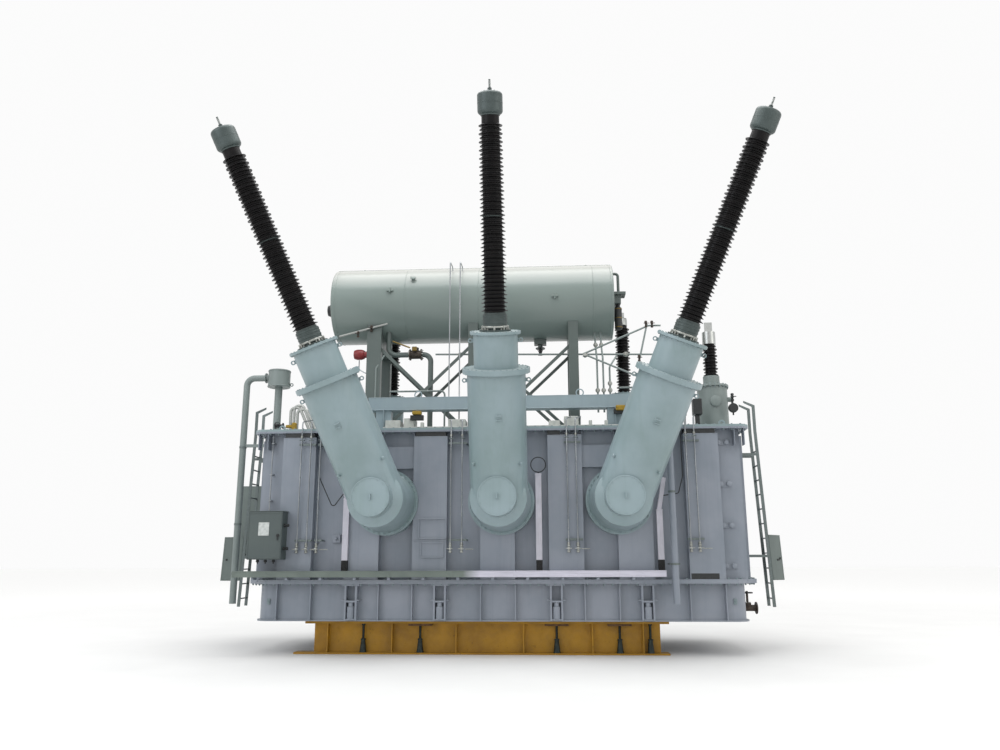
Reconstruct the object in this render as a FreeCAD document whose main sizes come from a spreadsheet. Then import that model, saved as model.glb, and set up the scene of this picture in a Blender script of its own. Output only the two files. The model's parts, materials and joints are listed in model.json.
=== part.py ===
import FreeCAD, Part
import math
import os
import re
import Sketcher
from FreeCAD import Vector

# A large oil-filled power transformer: a ribbed tank on a steel stand, three high-voltage
# bushings on turrets that lean out of the front wall, a conservator above the cover, ladders
# at both ends and a control cabinet.  X runs along the tank, Y away from the high-voltage
# side, Z up, and the floor is Z = 0 under the middle of the tank.  Sizes are millimetres.

VALUES = {
    # stand
    "stand_length": 6450, "stand_shift": -260, "stand_height": 600, "girder_flange": 300,
    "girder_web": 20, "girder_outstand": 120, "girder_plate": 55, "girder_line": 1250,
    "flange_overrun": 150,
    "foot_plate": 30,
    "foot_overrun": 350, "cross_girder_pitch": 2400, "jack_line": 1330, "jack_base": 130,
    "jack_collar": 70, "jack_ram": 44, "jack_base_height": 270, "jack_cap": 30,
    # lower tank, or tray
    "tray_length": 9080, "tray_corner": 300, "tray_lip": 40, "tray_lip_thick": 25,
    "tank_width": 3100, "joint_level": 1270, "joint_plate": 38,
    "joint_length": 9520, "rim_width": 3500, "rim_corner": 420, "cover_corner": 120,
    "tray_rib_thick": 20, "tray_rib_depth": 110,
    "bracket_half_gap": 100, "bracket_cheek": 35, "bracket_depth": 160, "bracket_pad": 320,
    # upper tank
    "tank_length": 9120, "cover_level": 4130, "cover_plate": 40, "tank_rim": 38,
    "cover_length": 9440, "stiffener_width": 640, "stiffener_depth": 180,
    "stiffener_pitch": 1270, "stiffener_top_gap": 95, "band_height": 420, "band_level": 3400,
    "end_stiffener_width": 520, "end_stiffener_depth": 90, "end_stiffener_line": 1100,
    # high-voltage turrets and bushings; stations are measured along the leaning axis
    "phase_pitch": 2185, "turret_level": 2765, "phase_shift": 75, "elbow_reach": 850,
    "turret_radius": 515, "stub_radius": 560, "shoulder_radius": 500, "shoulder_reach": 300,
    "shoulder_bevel": 90, "hatch_neck_radius": 345,
    "pad_radius": 620, "pad_play": 0.3, "pad_thick": 60, "hatch_reach": 660, "hatch_radius": 325,
    "hatch_thick": 32, "grip_height": 95, "grip_reach": 50, "grip_thick": 24, "lean_angle": 19.4,
    "splay_angle": 20.5, "mid_flange_station": 2315,
    "mid_flange_radius": 595, "flange_thick": 45, "head_radius": 390, "head_flange_radius": 445,
    "top_flange_station": 2998, "neck_radius": 185, "foot_ring_thick": 30, "neck_station": 3085,
    "collar_radius": 210, "collar_station": 3290, "shed_start": 3325,
    "shed_pitch": 68, "shed_radius": 232, "small_shed_radius": 214, "core_radius": 174,
    "shed_edge": 9, "shed_drop": 26, "shed_taper": 0.13, "bare_top": 110,
    "cap_start": 6660, "cap_radius": 215,
    "cap_rounding": 60, "cap_end": 7030, "cap_boss_height": 70, "terminal_radius": 18,
    "terminal_end": 7240,
    # conservator and what carries it
    "conservator_length": 5900, "conservator_shift": -600, "conservator_line": -100,
    "conservator_level": 7115, "conservator_radius": 815, "conservator_wall": 10,
    "dish_depth": 30, "post_section": 300, "post_inset_left": 890, "post_inset_right": 830,
    "post_half_span": 520, "saddle_play": 0.3, "saddle_rise": 260, "brace_section": 90,
    "brace_thick": 12, "brace_foot_gap": 60, "brace_head_gap": 20,
    "beam_length": 5140, "beam_line": -1300, "beam_level": 4578, "beam_height": 252,
    "beam_width": 260, "beam_foot": 300,
    # gas relay pipe
    "relay_pipe_radius": 55, "relay_pipe_level": 5930, "relay_pipe_reach": 900,
    "relay_pipe_start": -1480, "relay_pipe_line": -500, "relay_radius": 120,
    "relay_length": 260, "relay_flange": 24, "relay_step": 30, "pipe_bend": 160,
    # pressure relief devices and their discharge pipes
    "relief_place": 4540, "relief_line": -1000, "riser_radius": 75, "riser_height": 990,
    "canister_radius": 220, "canister_height": 350, "discharge_radius": 65,
    "discharge_reach": 5210, "discharge_drop": 150, "discharge_end": 880,
    "discharge_arm_width": 50, "discharge_arm_height": 60, "discharge_arm_drop": 200,
    "drop_place": 3190, "drop_line": -2000, "drop_radius": 60, "drop_rise": 420,
    "drop_end": 930, "drop_inlet": -1350, "drop_flange_radius": 150, "drop_flange_thick": 24,
    # neutral bushing and low-voltage bushings
    "neutral_place": 4330, "neutral_line": -500, "neutral_turret_radius": 300,
    "neutral_turret_height": 980, "neutral_neck": 200, "neutral_insulator_radius": 150,
    "neutral_insulator_height": 680, "neutral_cap_height": 260, "neutral_bar_height": 220,
    "neutral_bar_width": 160, "neutral_bar_thick": 20, "turret_lip": 40, "neutral_shed": 45,
    "neutral_shed_step": 15, "low_shed": 50, "low_shed_step": 18,
    "low_place": 50, "low_pitch": 2650, "low_line": 1100, "low_turret_radius": 270,
    "low_turret_height": 1150, "low_insulator_radius": 165, "low_insulator_height": 1600,
    "low_cap_height": 180,
    # cabinets
    "cabinet_place": -4600, "cabinet_width": 630, "cabinet_bottom": 1715,
    "cabinet_height": 870, "cabinet_depth": 300, "cabinet_arm": 60, "cabinet_wall": 30,
    "cabinet_arm_rise": 150,
    "door_thick": 24, "door_margin": 12, "door_lap": 5, "door_play": 0.3,
    "box_gap": 490, "box_line": 50, "box_width": 500, "box_length": 600,
    "box_bottom": 1750, "box_height": 1490, "box_arm": 60, "box_arm_rise": 200,
    # ladders
    "ladder_top": 4200, "ladder_bottom": 800, "ladder_place": 5110, "ladder_foot": 5240,
    "ladder_line": -400, "ladder_width": 400, "rail_depth": 60, "rail_thick": 14,
    "rung_pitch": 285, "rung_section": 24, "handrail_rise": 620, "handrail_reach": 190,
    "standoff_section": 50, "standoff_drop": 420, "guard_bottom": 1300, "guard_height": 860,
    "guard_width": 400,
    "guard_thick": 6, "guard_gap": 10, "left_guard_angle": 5,
    "right_guard_angle": 45, "hinge_play": 0.3,
    # cable tray and ducts
    "cable_tray_start": -4900, "cable_tray_end": 3040, "cable_tray_level": 1395,
    "cable_tray_height": 110, "cable_tray_depth": 200, "duct_width": 110, "duct_depth": 70,
    # signal leads
    "lead_radius": 9, "lead_bend": 50, "lead_line": -1750, "lead_loop": 140, "lead_tail": 30,
    # drain valve
    "valve_level": 790, "valve_line": -700, "valve_bore": 50, "valve_body": 95,
    "valve_length": 340, "valve_bolt_circle": 170, "valve_bolt_hole": 9, "valve_flange": 110,
    "valve_flange_thick": 22, "stem_height": 170,
    "stem_radius": 14, "wheel_radius": 110, "wheel_rim": 12, "wheel_play": 0.3, "wheel_hub": 30,
    "wheel_nut": 16, "spoke_width": 16, "spoke_thick": 12,
}

doc = FreeCAD.newDocument("power_transformer")
sheet = doc.addObject("Spreadsheet::Sheet", "sizes")
for row, (alias, number) in enumerate(VALUES.items(), start=1):
    sheet.set("A%d" % row, alias)
    sheet.set("B%d" % row, str(number))
    sheet.setAlias("B%d" % row, alias)
doc.recompute()


def formula(text):
    """Turn plain alias words into references to the sheet of sizes."""
    def reference(match):
        word = match.group(0)
        return "sizes." + word if word in VALUES else word
    return re.sub(r"[a-z][a-z_]*[a-z]", reference, str(text))


def value(text):
    """Work out a formula of alias words as a plain number."""
    def number(match):
        return "(%s)" % VALUES[match.group(0)]
    return FreeCAD.Units.Quantity(re.sub(r"[a-z][a-z_]*[a-z]", number, str(text))).Value


# Turns that carry an upright piece (its own axis along Z) to where it lies.
UPRIGHT = "rotation(vector(0; 0; 1); 0)"
ALONG_X = "rotation(vector(0; 1; 0); 90)"
TOWARD_FRONT = "rotation(vector(1; 0; 0); 90)"
SEAM_BELOW = " * rotation(vector(0; 0; 1); -90)"
SIDES = {"left": -1, "right": 1}
PHASES = {"left": -1, "centre": 0, "right": 1}
NODES = []


def node(piece):
    """Count a finished piece as one sub-part of the transformer."""
    NODES.append(piece)
    return piece


def place(piece, x, y, z, turn=UPRIGHT):
    """Bind where a piece stands, and how it is turned, to the sheet."""
    spot = "placement(vector(%s; %s; %s); %s)" % (x, y, z, turn)
    piece.setExpression("Placement", formula(spot))
    return piece


def block(label, length, width, height, x, y, z, turn=UPRIGHT):
    """A rectangular block from its lower left front corner."""
    piece = doc.addObject("Part::Box", label)
    piece.setExpression("Length", formula(length))
    piece.setExpression("Width", formula(width))
    piece.setExpression("Height", formula(height))
    return place(piece, x, y, z, turn)


def rod(label, radius, height, x, y, z, turn=UPRIGHT):
    """A round bar from the middle of its lower end."""
    piece = doc.addObject("Part::Cylinder", label)
    piece.setExpression("Radius", formula(radius))
    piece.setExpression("Height", formula(height))
    return place(piece, x, y, z, turn)


def fused(label, pieces):
    """Pieces welded into one solid."""
    piece = doc.addObject("Part::MultiFuse", label)
    piece.Shapes = pieces
    return piece


def grouped(label, pieces):
    """Like pieces that stand apart and count as one sub-part."""
    piece = doc.addObject("Part::Compound", label)
    piece.Links = pieces
    return piece


def cut(label, base, tool):
    """What is left of the base once the tool's shape is taken out."""
    piece = doc.addObject("Part::Cut", label)
    piece.Base = base
    piece.Tool = tool
    return piece


def drawn(body, name, plane_role, outline):
    """A closed sketch of straight sides, each corner bound to the sheet."""
    sketch = body.newObject("Sketcher::SketchObject", name)
    planes = [item for item in body.Origin.OriginFeatures if item.Role == plane_role]
    sketch.AttachmentSupport = [(planes[0], "")]
    sketch.MapMode = "FlatFace"
    corners = [Vector(value(across), value(up), 0) for across, up in outline]
    count = len(corners)
    for index in range(count):
        side = Part.LineSegment(corners[index], corners[(index + 1) % count])
        sketch.addGeometry(side, False)
    for index in range(count):
        sketch.addConstraint(Sketcher.Constraint("Coincident", index, 2, (index + 1) % count, 1))
    for index, (across, up) in enumerate(outline):
        for kind, text, axis in (("DistanceX", across, -2), ("DistanceY", up, -1)):
            if str(text) == "0":
                sketch.addConstraint(Sketcher.Constraint("PointOnObject", index, 1, axis))
                continue
            held = sketch.addConstraint(
                Sketcher.Constraint(kind, -1, 1, index, 1, value(text)))
            sketch.setExpression("Constraints[%d]" % held, formula(text))
    return sketch


def turned(label, outline, x, y, z, turn=UPRIGHT):
    """A piece turned about its own axis; the outline gives radius and height pairs."""
    body = doc.addObject("PartDesign::Body", label)
    sketch = drawn(body, label + "_outline", "XZ_Plane", outline)
    spin = body.newObject("PartDesign::Revolution", label + "_spin")
    spin.Profile = sketch
    spin.ReferenceAxis = (sketch, ["V_Axis"])
    spin.Angle = 360
    sketch.Visibility = False
    return place(body, x, y, z, turn)


def plate(label, outline, thick, x, y, z, turn=UPRIGHT):
    """A flat piece padded up from an outline seen from above."""
    body = doc.addObject("PartDesign::Body", label)
    sketch = drawn(body, label + "_outline", "XY_Plane", outline)
    pad = body.newObject("PartDesign::Pad", label + "_pad")
    pad.Profile = sketch
    pad.setExpression("Length", formula(thick))
    sketch.Visibility = False
    return place(body, x, y, z, turn)


def rounded(body, radius, wanted):
    """Round the edges of a body that the test picks, by a radius from the sheet."""
    doc.recompute()
    tip = body.Tip
    names = []
    for number, edge in enumerate(tip.Shape.Edges, start=1):
        if wanted(edge):
            names.append("Edge%d" % number)
    fillet = body.newObject("PartDesign::Fillet", body.Label + "_rounding")
    fillet.Base = (tip, names)
    fillet.setExpression("Radius", formula(radius))
    body.Tip = fillet
    return body


def upright_edge(edge):
    """True for a straight edge along the body's own Z."""
    ends = [vertex.Point for vertex in edge.Vertexes]
    return len(ends) == 2 and abs(ends[0].x - ends[1].x) + abs(ends[0].y - ends[1].y) < 1e-6


def rim_edge(radius):
    """A test for circular edges of one radius."""
    def matches(edge):
        return isinstance(edge.Curve, Part.Circle) and abs(edge.Curve.Radius - radius) < 1e-6
    return matches


def rectangle(length, width):
    """The corners of a centred rectangle."""
    return [("-%s / 2" % length, "-%s / 2" % width), ("%s / 2" % length, "-%s / 2" % width),
            ("%s / 2" % length, "%s / 2" % width), ("-%s / 2" % length, "%s / 2" % width)]


def clipped(length, width, corner):
    """The corners of a centred rectangle with its four corners cut off at 45 degrees."""
    outline = []
    for across, along, first in ((1, -1, 1), (1, 1, 0), (-1, 1, 1), (-1, -1, 0)):
        near = ("%d * (%s / 2 - %s)" % (across, length, corner), "%d * %s / 2" % (along, width))
        far = ("%d * %s / 2" % (across, length), "%d * (%s / 2 - %s)" % (along, width, corner))
        outline += [near, far] if first else [far, near]
    return outline


def bent_pipe(label, points, radius, bend):
    """A round pipe along straight runs joined by tangent arcs of one bend radius."""
    spots = [Vector(*point) for point in points]
    edges = []
    start = spots[0]
    for before, corner, after in zip(spots, spots[1:], spots[2:]):
        arriving = (corner - before).normalize()
        leaving = (after - corner).normalize()
        half_turn = arriving.getAngle(leaving) / 2
        setback = bend * math.tan(half_turn)
        first = corner - arriving * setback
        last = corner + leaving * setback
        inward = (leaving - arriving).normalize()
        middle = corner + inward * (bend / math.cos(half_turn) - bend)
        edges.append(Part.LineSegment(start, first).toShape())
        edges.append(Part.Arc(first, middle, last).toShape())
        start = last
    edges.append(Part.LineSegment(start, spots[-1]).toShape())
    ring = Part.Wire([Part.makeCircle(radius, spots[0], spots[1] - spots[0])])
    piece = doc.addObject("Part::Feature", label)
    piece.Shape = Part.Wire(edges).makePipeShell([ring], True, True)
    return piece


SHED_SHARE = 0.3  # how far up its pitch each shed's flat underside is


def shed_column(label, start, end, pitch, core, wide, narrow, edge, drop, taper=0, bare=0):
    """A solid insulator: a core with sloping sheds of two sizes, taken by turns.

    The taper is the share of its radius it loses up to the top; the last stretch is bare.
    """
    def corner(radius, height):
        return Vector(radius * (1 - taper * (height - start) / (end - start)), 0, height)
    corners = [corner(0, start), corner(core, start)]
    for index in range(int((end - bare - start) / pitch)):
        shed = start + pitch * (index + SHED_SHARE)
        tip = wide if index % 2 == 0 else narrow
        corners += [corner(core, shed), corner(tip, shed), corner(tip, shed + edge),
                    corner(core, shed + edge + drop)]
    corners += [corner(core, end), corner(0, end), corner(0, start)]
    face = Part.Face(Part.makePolygon(corners))
    piece = doc.addObject("Part::Feature", label)
    piece.Shape = face.revolve(Vector(0, 0, 0), Vector(0, 0, 1), 360)
    return piece


# ---------------------------------------------------------------- stand
JACK_PLACES = [-2540, -1470, 1065, 2220, 2775]
WEB_STIFFENER_PLACES = [-3210, -1995, -795, 455, 1720, 2645]


def girder(label, side):
    """A plate girder along X with flanges, a web, web stiffeners and a long foot plate."""
    left = "stand_shift - stand_length / 2"
    middle = "%d * girder_line" % side
    pieces = [
        block(label + "_foot", "stand_length + foot_overrun + flange_overrun", "girder_flange",
              "foot_plate",
              left + " - foot_overrun", middle + " - girder_flange / 2", "0"),
        block(label + "_web", "stand_length", "girder_web", "stand_height - foot_plate",
              left, middle + " - girder_web / 2", "foot_plate"),
        block(label + "_top", "stand_length + 2 * flange_overrun", "girder_flange",
              "girder_plate", left + " - flange_overrun", middle + " - girder_flange / 2",
              "stand_height - girder_plate"),
    ]
    for index, place_along in enumerate(WEB_STIFFENER_PLACES):
        spot = "%d - girder_web / 2" % place_along
        pieces.append(block(
            "%s_stiffener_%d" % (label, index + 1), "girder_web", "girder_outstand",
            "stand_height - foot_plate - girder_plate", spot,
            middle + (" + girder_web / 2" if side > 0 else " - girder_web / 2 - girder_outstand"),
            "foot_plate"))
    return node(fused(label, pieces))


def stand():
    """Two girders, three cross girders and a row of screw jacks between each one's flanges."""
    girder("stand_front_girder", -1)
    girder("stand_rear_girder", 1)
    crosses = []
    for index in (-1, 0, 1):
        name = "cross_girder_%d" % (index + 2)
        left = "%d * cross_girder_pitch - girder_flange / 2" % index
        web = block(name + "_bar", "girder_flange", "2 * girder_line - girder_web",
                    "stand_height - foot_plate - girder_plate", left,
                    "girder_web / 2 - girder_line", "foot_plate")
        foot = block(name + "_foot", "girder_flange", "2 * girder_line - girder_flange",
                     "foot_plate", left, "girder_flange / 2 - girder_line", "0")
        crosses.append(fused(name, [web, foot]))
    node(grouped("stand_cross_girders", crosses))
    jacks = []
    head = "stand_height - girder_plate"
    for label, side in (("front_jack", -1), ("rear_jack", 1)):
        for index, spot in enumerate(JACK_PLACES):
            name = "%s_%d" % (label, index + 1)
            jacks.append(turned(name, [
                ("0", "foot_plate"), ("jack_base / 2", "foot_plate"),
                ("jack_collar / 2", "jack_base_height"),
                ("jack_ram / 2", "jack_base_height"), ("jack_ram / 2", head + " - jack_cap"),
                ("jack_collar / 2", head + " - jack_cap"), ("jack_collar / 2", head),
                ("0", head)], spot, "%d * jack_line" % side, "0"))
    node(grouped("levelling_jacks", jacks))


# ---------------------------------------------------------------- lower tank
def lower_tank():
    """The tray that carries the core: rounded ends, a bottom lip and the joint flange."""
    body = plate("tray_body", rectangle("tray_length", "tank_width"),
                 "joint_level - stand_height", "0", "0", "stand_height")
    rounded(body, "tray_corner", upright_edge)
    lip = plate("tray_lip", rectangle("(tray_length + 2 * tray_lip)",
                                      "(tank_width + 2 * tray_lip)"),
                "tray_lip_thick", "0", "0", "stand_height")
    rounded(lip, "tray_corner", upright_edge)
    flange = plate("tray_flange", clipped("joint_length", "rim_width", "rim_corner"),
                   "joint_plate", "0", "0", "joint_level")
    node(fused("lower_tank", [body, lip, flange]))
    node(grouped("tray_ribs", tray_ribs("front_rib", -1) + tray_ribs("rear_rib", 1)))
    node(grouped("jacking_brackets",
                 jacking_brackets("front_bracket", -1) + jacking_brackets("rear_bracket", 1)))


def rib_places():
    """Where the tray's ribs stand: under the edges of the wall stiffeners above."""
    edges = []
    for step, inner, outer in ((0, 1, 1), (1, 0, 1), (2, 1, 0), (3, 1, 1)):
        for use, sign in ((inner, -1), (outer, 1)):
            if use:
                edges.append("%d * stiffener_pitch + %d * stiffener_width / 2" % (step, sign))
    mirrored = ["-(%s)" % edge for edge in edges if not edge.startswith("0")]
    return edges + mirrored


def tray_ribs(label, side):
    """Upright ribs on one long wall of the tray, from its lip to the joint flange."""
    ribs = []
    for index, spot in enumerate(rib_places()):
        front = "tank_width / 2" if side > 0 else "-tank_width / 2 - tray_rib_depth"
        ribs.append(block(
            "%s_%d" % (label, index + 1), "tray_rib_thick", "tray_rib_depth",
            "joint_level - stand_height - tray_lip_thick", "%s - tray_rib_thick / 2" % spot,
            front, "stand_height + tray_lip_thick"))
    return ribs


BRACKET_PLACES = [-2720, -1070, 1070, 2720]


def jacking_brackets(label, side):
    """Lifting points for jacks: two cheeks under a pad, four on each long wall."""
    brackets = []
    height = "joint_level - stand_height - tray_lip_thick"
    front = "tank_width / 2" if side > 0 else "-tank_width / 2 - bracket_depth"
    for index, spot in enumerate(BRACKET_PLACES):
        name = "%s_%d" % (label, index + 1)
        cheeks = []
        for hand, sign in SIDES.items():
            cheeks.append(block(
                "%s_%s_cheek" % (name, hand), "bracket_cheek", "bracket_depth",
                height + " - bracket_cheek",
                "%d + %d * bracket_half_gap - bracket_cheek / 2" % (spot, sign), front,
                "stand_height + tray_lip_thick"))
        pad = block(name + "_pad", "bracket_pad", "bracket_depth", "bracket_cheek",
                    "%d - bracket_pad / 2" % spot, front, "joint_level - bracket_cheek")
        brackets.append(fused(name, cheeks + [pad]))
    return brackets


# ---------------------------------------------------------------- upper tank
TANK_FOOT = "(joint_level + joint_plate)"
STIFFENER_FOOT = "(joint_level + 2 * joint_plate)"
COVER_TOP = "(cover_level + cover_plate)"
FRONT_WALL = "(-tank_width / 2)"


def upper_tank():
    """The tall tank with its foot flange and top rim, closed by the cover."""
    wall = block("tank_wall", "tank_length", "tank_width",
                 "cover_level - joint_level - joint_plate",
                 "-tank_length / 2", FRONT_WALL, TANK_FOOT)
    foot = plate("tank_foot", clipped("joint_length", "rim_width", "rim_corner"),
                 "joint_plate", "0", "0", TANK_FOOT)
    rim = plate("tank_rim_plate", clipped("cover_length", "rim_width", "cover_corner"),
                "tank_rim", "0", "0", "cover_level - tank_rim")
    node(fused("upper_tank", [wall, foot, rim]))
    node(plate("tank_cover", clipped("cover_length", "rim_width", "cover_corner"),
               "cover_plate", "0", "0", "cover_level"))


def wall_stiffeners():
    """Seven box stiffeners on each long wall; the front ones give way to the turret pads."""
    height = "cover_level - tank_rim - stiffener_top_gap - %s" % STIFFENER_FOOT
    for label, side in (("front", -1), ("rear", 1)):
        boxes = []
        base = "tank_width / 2" if side > 0 else "-tank_width / 2 - stiffener_depth"
        for step in range(-3, 4):
            boxes.append(block(
                "%s_box_%d" % (label, step + 4), "stiffener_width", "stiffener_depth", height,
                "%d * stiffener_pitch - stiffener_width / 2" % step, base, STIFFENER_FOOT))
        if side > 0:
            node(grouped("rear_wall_stiffeners", boxes))
            continue
        pads = []
        for hand, sign in PHASES.items():
            pads.append(rod(hand + "_pad_room", "pad_radius + pad_play", "stiffener_depth",
                            "(phase_shift + %d * phase_pitch)" % sign, FRONT_WALL, "turret_level",
                            TOWARD_FRONT))
        front = cut("front_boxes_cut", grouped("front_boxes", boxes),
                    grouped("pad_rooms", pads))
    bands = []
    for hand, sign in SIDES.items():
        middle = "%d * 1.5 * stiffener_pitch" % sign
        gap = "(stiffener_pitch - stiffener_width)"
        bands.append(block(hand + "_band", gap, "stiffener_depth / 2", "band_height",
                           "%s - %s / 2" % (middle, gap), "-tank_width / 2 - stiffener_depth / 2",
                           "band_level"))
    node(grouped("front_wall_stiffeners", [front] + bands))
    ends = []
    for hand, sign in SIDES.items():
        for row in (-1, 1):
            start = "tank_length / 2" if sign > 0 else "-tank_length / 2 - end_stiffener_depth"
            ends.append(block(
                "%s_end_box_%d" % (hand, row + 2), "end_stiffener_depth",
                "end_stiffener_width", height, start,
                "%d * end_stiffener_line - end_stiffener_width / 2" % row, STIFFENER_FOOT))
    node(grouped("end_wall_stiffeners", ends))


# ---------------------------------------------------------------- high-voltage phases
def leaning(sign):
    """The turn of a bushing's axis: out from the wall, and sideways on the outer phases."""
    return ("rotation(vector(1; 0; 0); lean_angle)"
            " * rotation(vector(0; 1; 0); %d * splay_angle)" % sign)


def high_voltage_phase(hand, sign):
    """One phase: a wall turret, its head and the bushing on it; gives back the hatch."""
    across = "(phase_shift + %d * phase_pitch)" % sign
    elbow = (across, "-tank_width / 2 - elbow_reach", "turret_level")
    turn = leaning(sign)
    stub = turned(hand + "_turret_stub", [
        ("0", "0"), ("pad_radius", "0"), ("pad_radius", "stiffener_depth + pad_thick"),
        ("stub_radius", "stiffener_depth + pad_thick"),
        ("shoulder_radius", "elbow_reach + shoulder_reach"),
        ("hatch_neck_radius", "elbow_reach + shoulder_reach + shoulder_bevel"),
        ("hatch_neck_radius", "elbow_reach + hatch_reach"), ("0", "elbow_reach + hatch_reach")],
        across, FRONT_WALL, "turret_level", TOWARD_FRONT + SEAM_BELOW)
    tube = turned(hand + "_turret_tube", [
        ("0", "0"), ("turret_radius", "0"),
        ("turret_radius", "mid_flange_station - flange_thick"),
        ("mid_flange_radius", "mid_flange_station - flange_thick"),
        ("mid_flange_radius", "mid_flange_station"), ("0", "mid_flange_station")],
        *elbow, turn)
    turret = fused(hand + "_turret", [stub, tube])
    node(turret)
    front = "-tank_width / 2 - elbow_reach - hatch_reach"
    cover = rod(hand + "_hatch_disc", "hatch_radius", "hatch_thick", across, front,
                "turret_level", TOWARD_FRONT)
    grip = block(hand + "_hatch_grip", "grip_thick", "grip_reach", "grip_height",
                 across + " - grip_thick / 2", front + " - hatch_thick - grip_reach",
                 "turret_level - grip_height / 2")
    node(turned(hand + "_turret_head", [
        ("0", "mid_flange_station"), ("mid_flange_radius", "mid_flange_station"),
        ("mid_flange_radius", "mid_flange_station + flange_thick"),
        ("head_radius", "mid_flange_station + flange_thick"),
        ("head_radius", "top_flange_station - flange_thick"),
        ("head_flange_radius", "top_flange_station - flange_thick"),
        ("head_flange_radius", "top_flange_station"), ("0", "top_flange_station")],
        *elbow, turn))
    node(turned(hand + "_bushing_foot", [
        ("0", "top_flange_station"), ("neck_radius * 1.5", "top_flange_station"),
        ("neck_radius * 1.5", "top_flange_station + foot_ring_thick"),
        ("neck_radius", "top_flange_station + foot_ring_thick"), ("neck_radius", "neck_station"),
        ("collar_radius", "neck_station"), ("collar_radius", "collar_station"),
        ("core_radius * 1.1", "collar_station"), ("core_radius * 1.1", "shed_start"),
        ("0", "shed_start")], *elbow, turn))
    sheds = shed_column(hand + "_bushing_insulator", value("shed_start"), value("cap_start"),
                        value("shed_pitch"), value("core_radius"), value("shed_radius"),
                        value("small_shed_radius"), value("shed_edge"), value("shed_drop"),
                        value("shed_taper"), value("bare_top"))
    node(place(sheds, *elbow, turn))
    terminal = turned(hand + "_bushing_terminal", [
        ("0", "cap_start"), ("cap_radius", "cap_start"), ("cap_radius", "cap_end"),
        ("terminal_radius * 2", "cap_end"), ("terminal_radius * 2", "cap_end + cap_boss_height"),
        ("terminal_radius", "cap_end + cap_boss_height"), ("terminal_radius", "terminal_end"),
        ("0", "terminal_end")], *elbow, turn)
    node(rounded(terminal, "cap_rounding", rim_edge(value("cap_radius"))))
    return fused(hand + "_turret_hatch", [cover, grip])


# ---------------------------------------------------------------- conservator
CONSERVATOR_BOTTOM = "(conservator_level - conservator_radius)"


def conservator():
    """The round oil vessel above the cover, with an end at each side."""
    left = "conservator_shift - conservator_length / 2"
    axis = (left, "conservator_line", "conservator_level", ALONG_X)
    outside = rod("conservator_outside", "conservator_radius", "conservator_length", *axis)
    inside = rod("conservator_inside", "conservator_radius - conservator_wall",
                 "conservator_length", *axis)
    node(cut("conservator_shell", outside, inside))
    for hand, sign in SIDES.items():
        spot = "conservator_shift + %d * conservator_length / 2" % sign
        turn = "rotation(vector(0; 1; 0); %d)" % (90 * sign)
        end = turned("conservator_%s_end" % hand, [
            ("0", "0"), ("conservator_radius", "0"), ("conservator_radius", "dish_depth"),
            ("0", "dish_depth")], spot, "conservator_line", "conservator_level", turn)

        def outer_rim(edge):
            return (rim_edge(value("conservator_radius"))(edge)
                    and edge.Curve.Center.z > value("dish_depth") / 2)
        node(rounded(end, "dish_depth * 0.85", outer_rim))
    conservator_frames()


def conservator_frames():
    """Three portals with saddles that carry the vessel, and crossed bars in each bay."""
    width = {"left": "post_section", "middle": "post_section * 2 / 3",
             "right": "post_section * 2 / 3"}
    places = frame_places()
    for name, spot in places.items():
        pieces = []
        for row in (-1, 1):
            pieces.append(block(
                "%s_post_%d" % (name, row + 2), width[name], "post_section / 2",
                "%s - saddle_rise - %s" % (CONSERVATOR_BOTTOM, COVER_TOP),
                "%s - %s / 2" % (spot, width[name]),
                "conservator_line + %d * post_half_span - post_section / 4" % row, COVER_TOP))
        saddle = block(name + "_saddle_block", width[name],
                       "2 * post_half_span + post_section / 2", "2 * saddle_rise",
                       "%s - %s / 2" % (spot, width[name]),
                       "conservator_line - post_half_span - post_section / 4",
                       CONSERVATOR_BOTTOM + " - saddle_rise")
        room = rod(name + "_saddle_room", "conservator_radius + saddle_play", "conservator_length",
                   "conservator_shift - conservator_length / 2", "conservator_line",
                   "conservator_level", ALONG_X)
        pieces.append(cut(name + "_saddle", saddle, room))
        node(fused("conservator_%s_frame" % name, pieces))
    bays = []
    for hand, first, last in (("left", "left", "middle"), ("right", "middle", "right")):
        start = value("%s + %s / 2" % (places[first], width[first]))
        end = value("%s - %s / 2" % (places[last], width[last]))
        bays.append(cross_bracing(hand + "_bay_bracing", start, end))
    node(grouped("conservator_bracing", bays))


def frame_places():
    """The three portals' middles along X."""
    left = "conservator_shift - conservator_length / 2 + post_inset_left"
    right = "conservator_shift + conservator_length / 2 - post_inset_right"
    return {"left": "(%s)" % left, "middle": "((%s + %s) / 2)" % (left, right),
            "right": "(%s)" % right}


def cross_bracing(label, start, end):
    """Crossed flat bars between two portals, in the front and the rear plane of the posts."""
    low = value(COVER_TOP + " + brace_foot_gap")
    high = value(CONSERVATOR_BOTTOM + " - saddle_rise - brace_head_gap")
    half = value("brace_section") / 2
    thick = value("brace_thick")
    pieces = []
    for row in (-1, 1):
        middle = value("conservator_line") + row * value("post_half_span")
        bars = []
        for first, last in ((low, high), (high, low)):
            corners = [Vector(start, middle - thick / 2, first - half),
                       Vector(end, middle - thick / 2, last - half),
                       Vector(end, middle - thick / 2, last + half),
                       Vector(start, middle - thick / 2, first + half)]
            face = Part.Face(Part.makePolygon(corners + corners[:1]))
            bars.append(face.extrude(Vector(0, thick, 0)))
        pieces.append(bars[0].fuse(bars[1]).removeSplitter())
    piece = doc.addObject("Part::Feature", label)
    piece.Shape = Part.makeCompound(pieces)
    return piece


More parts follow.
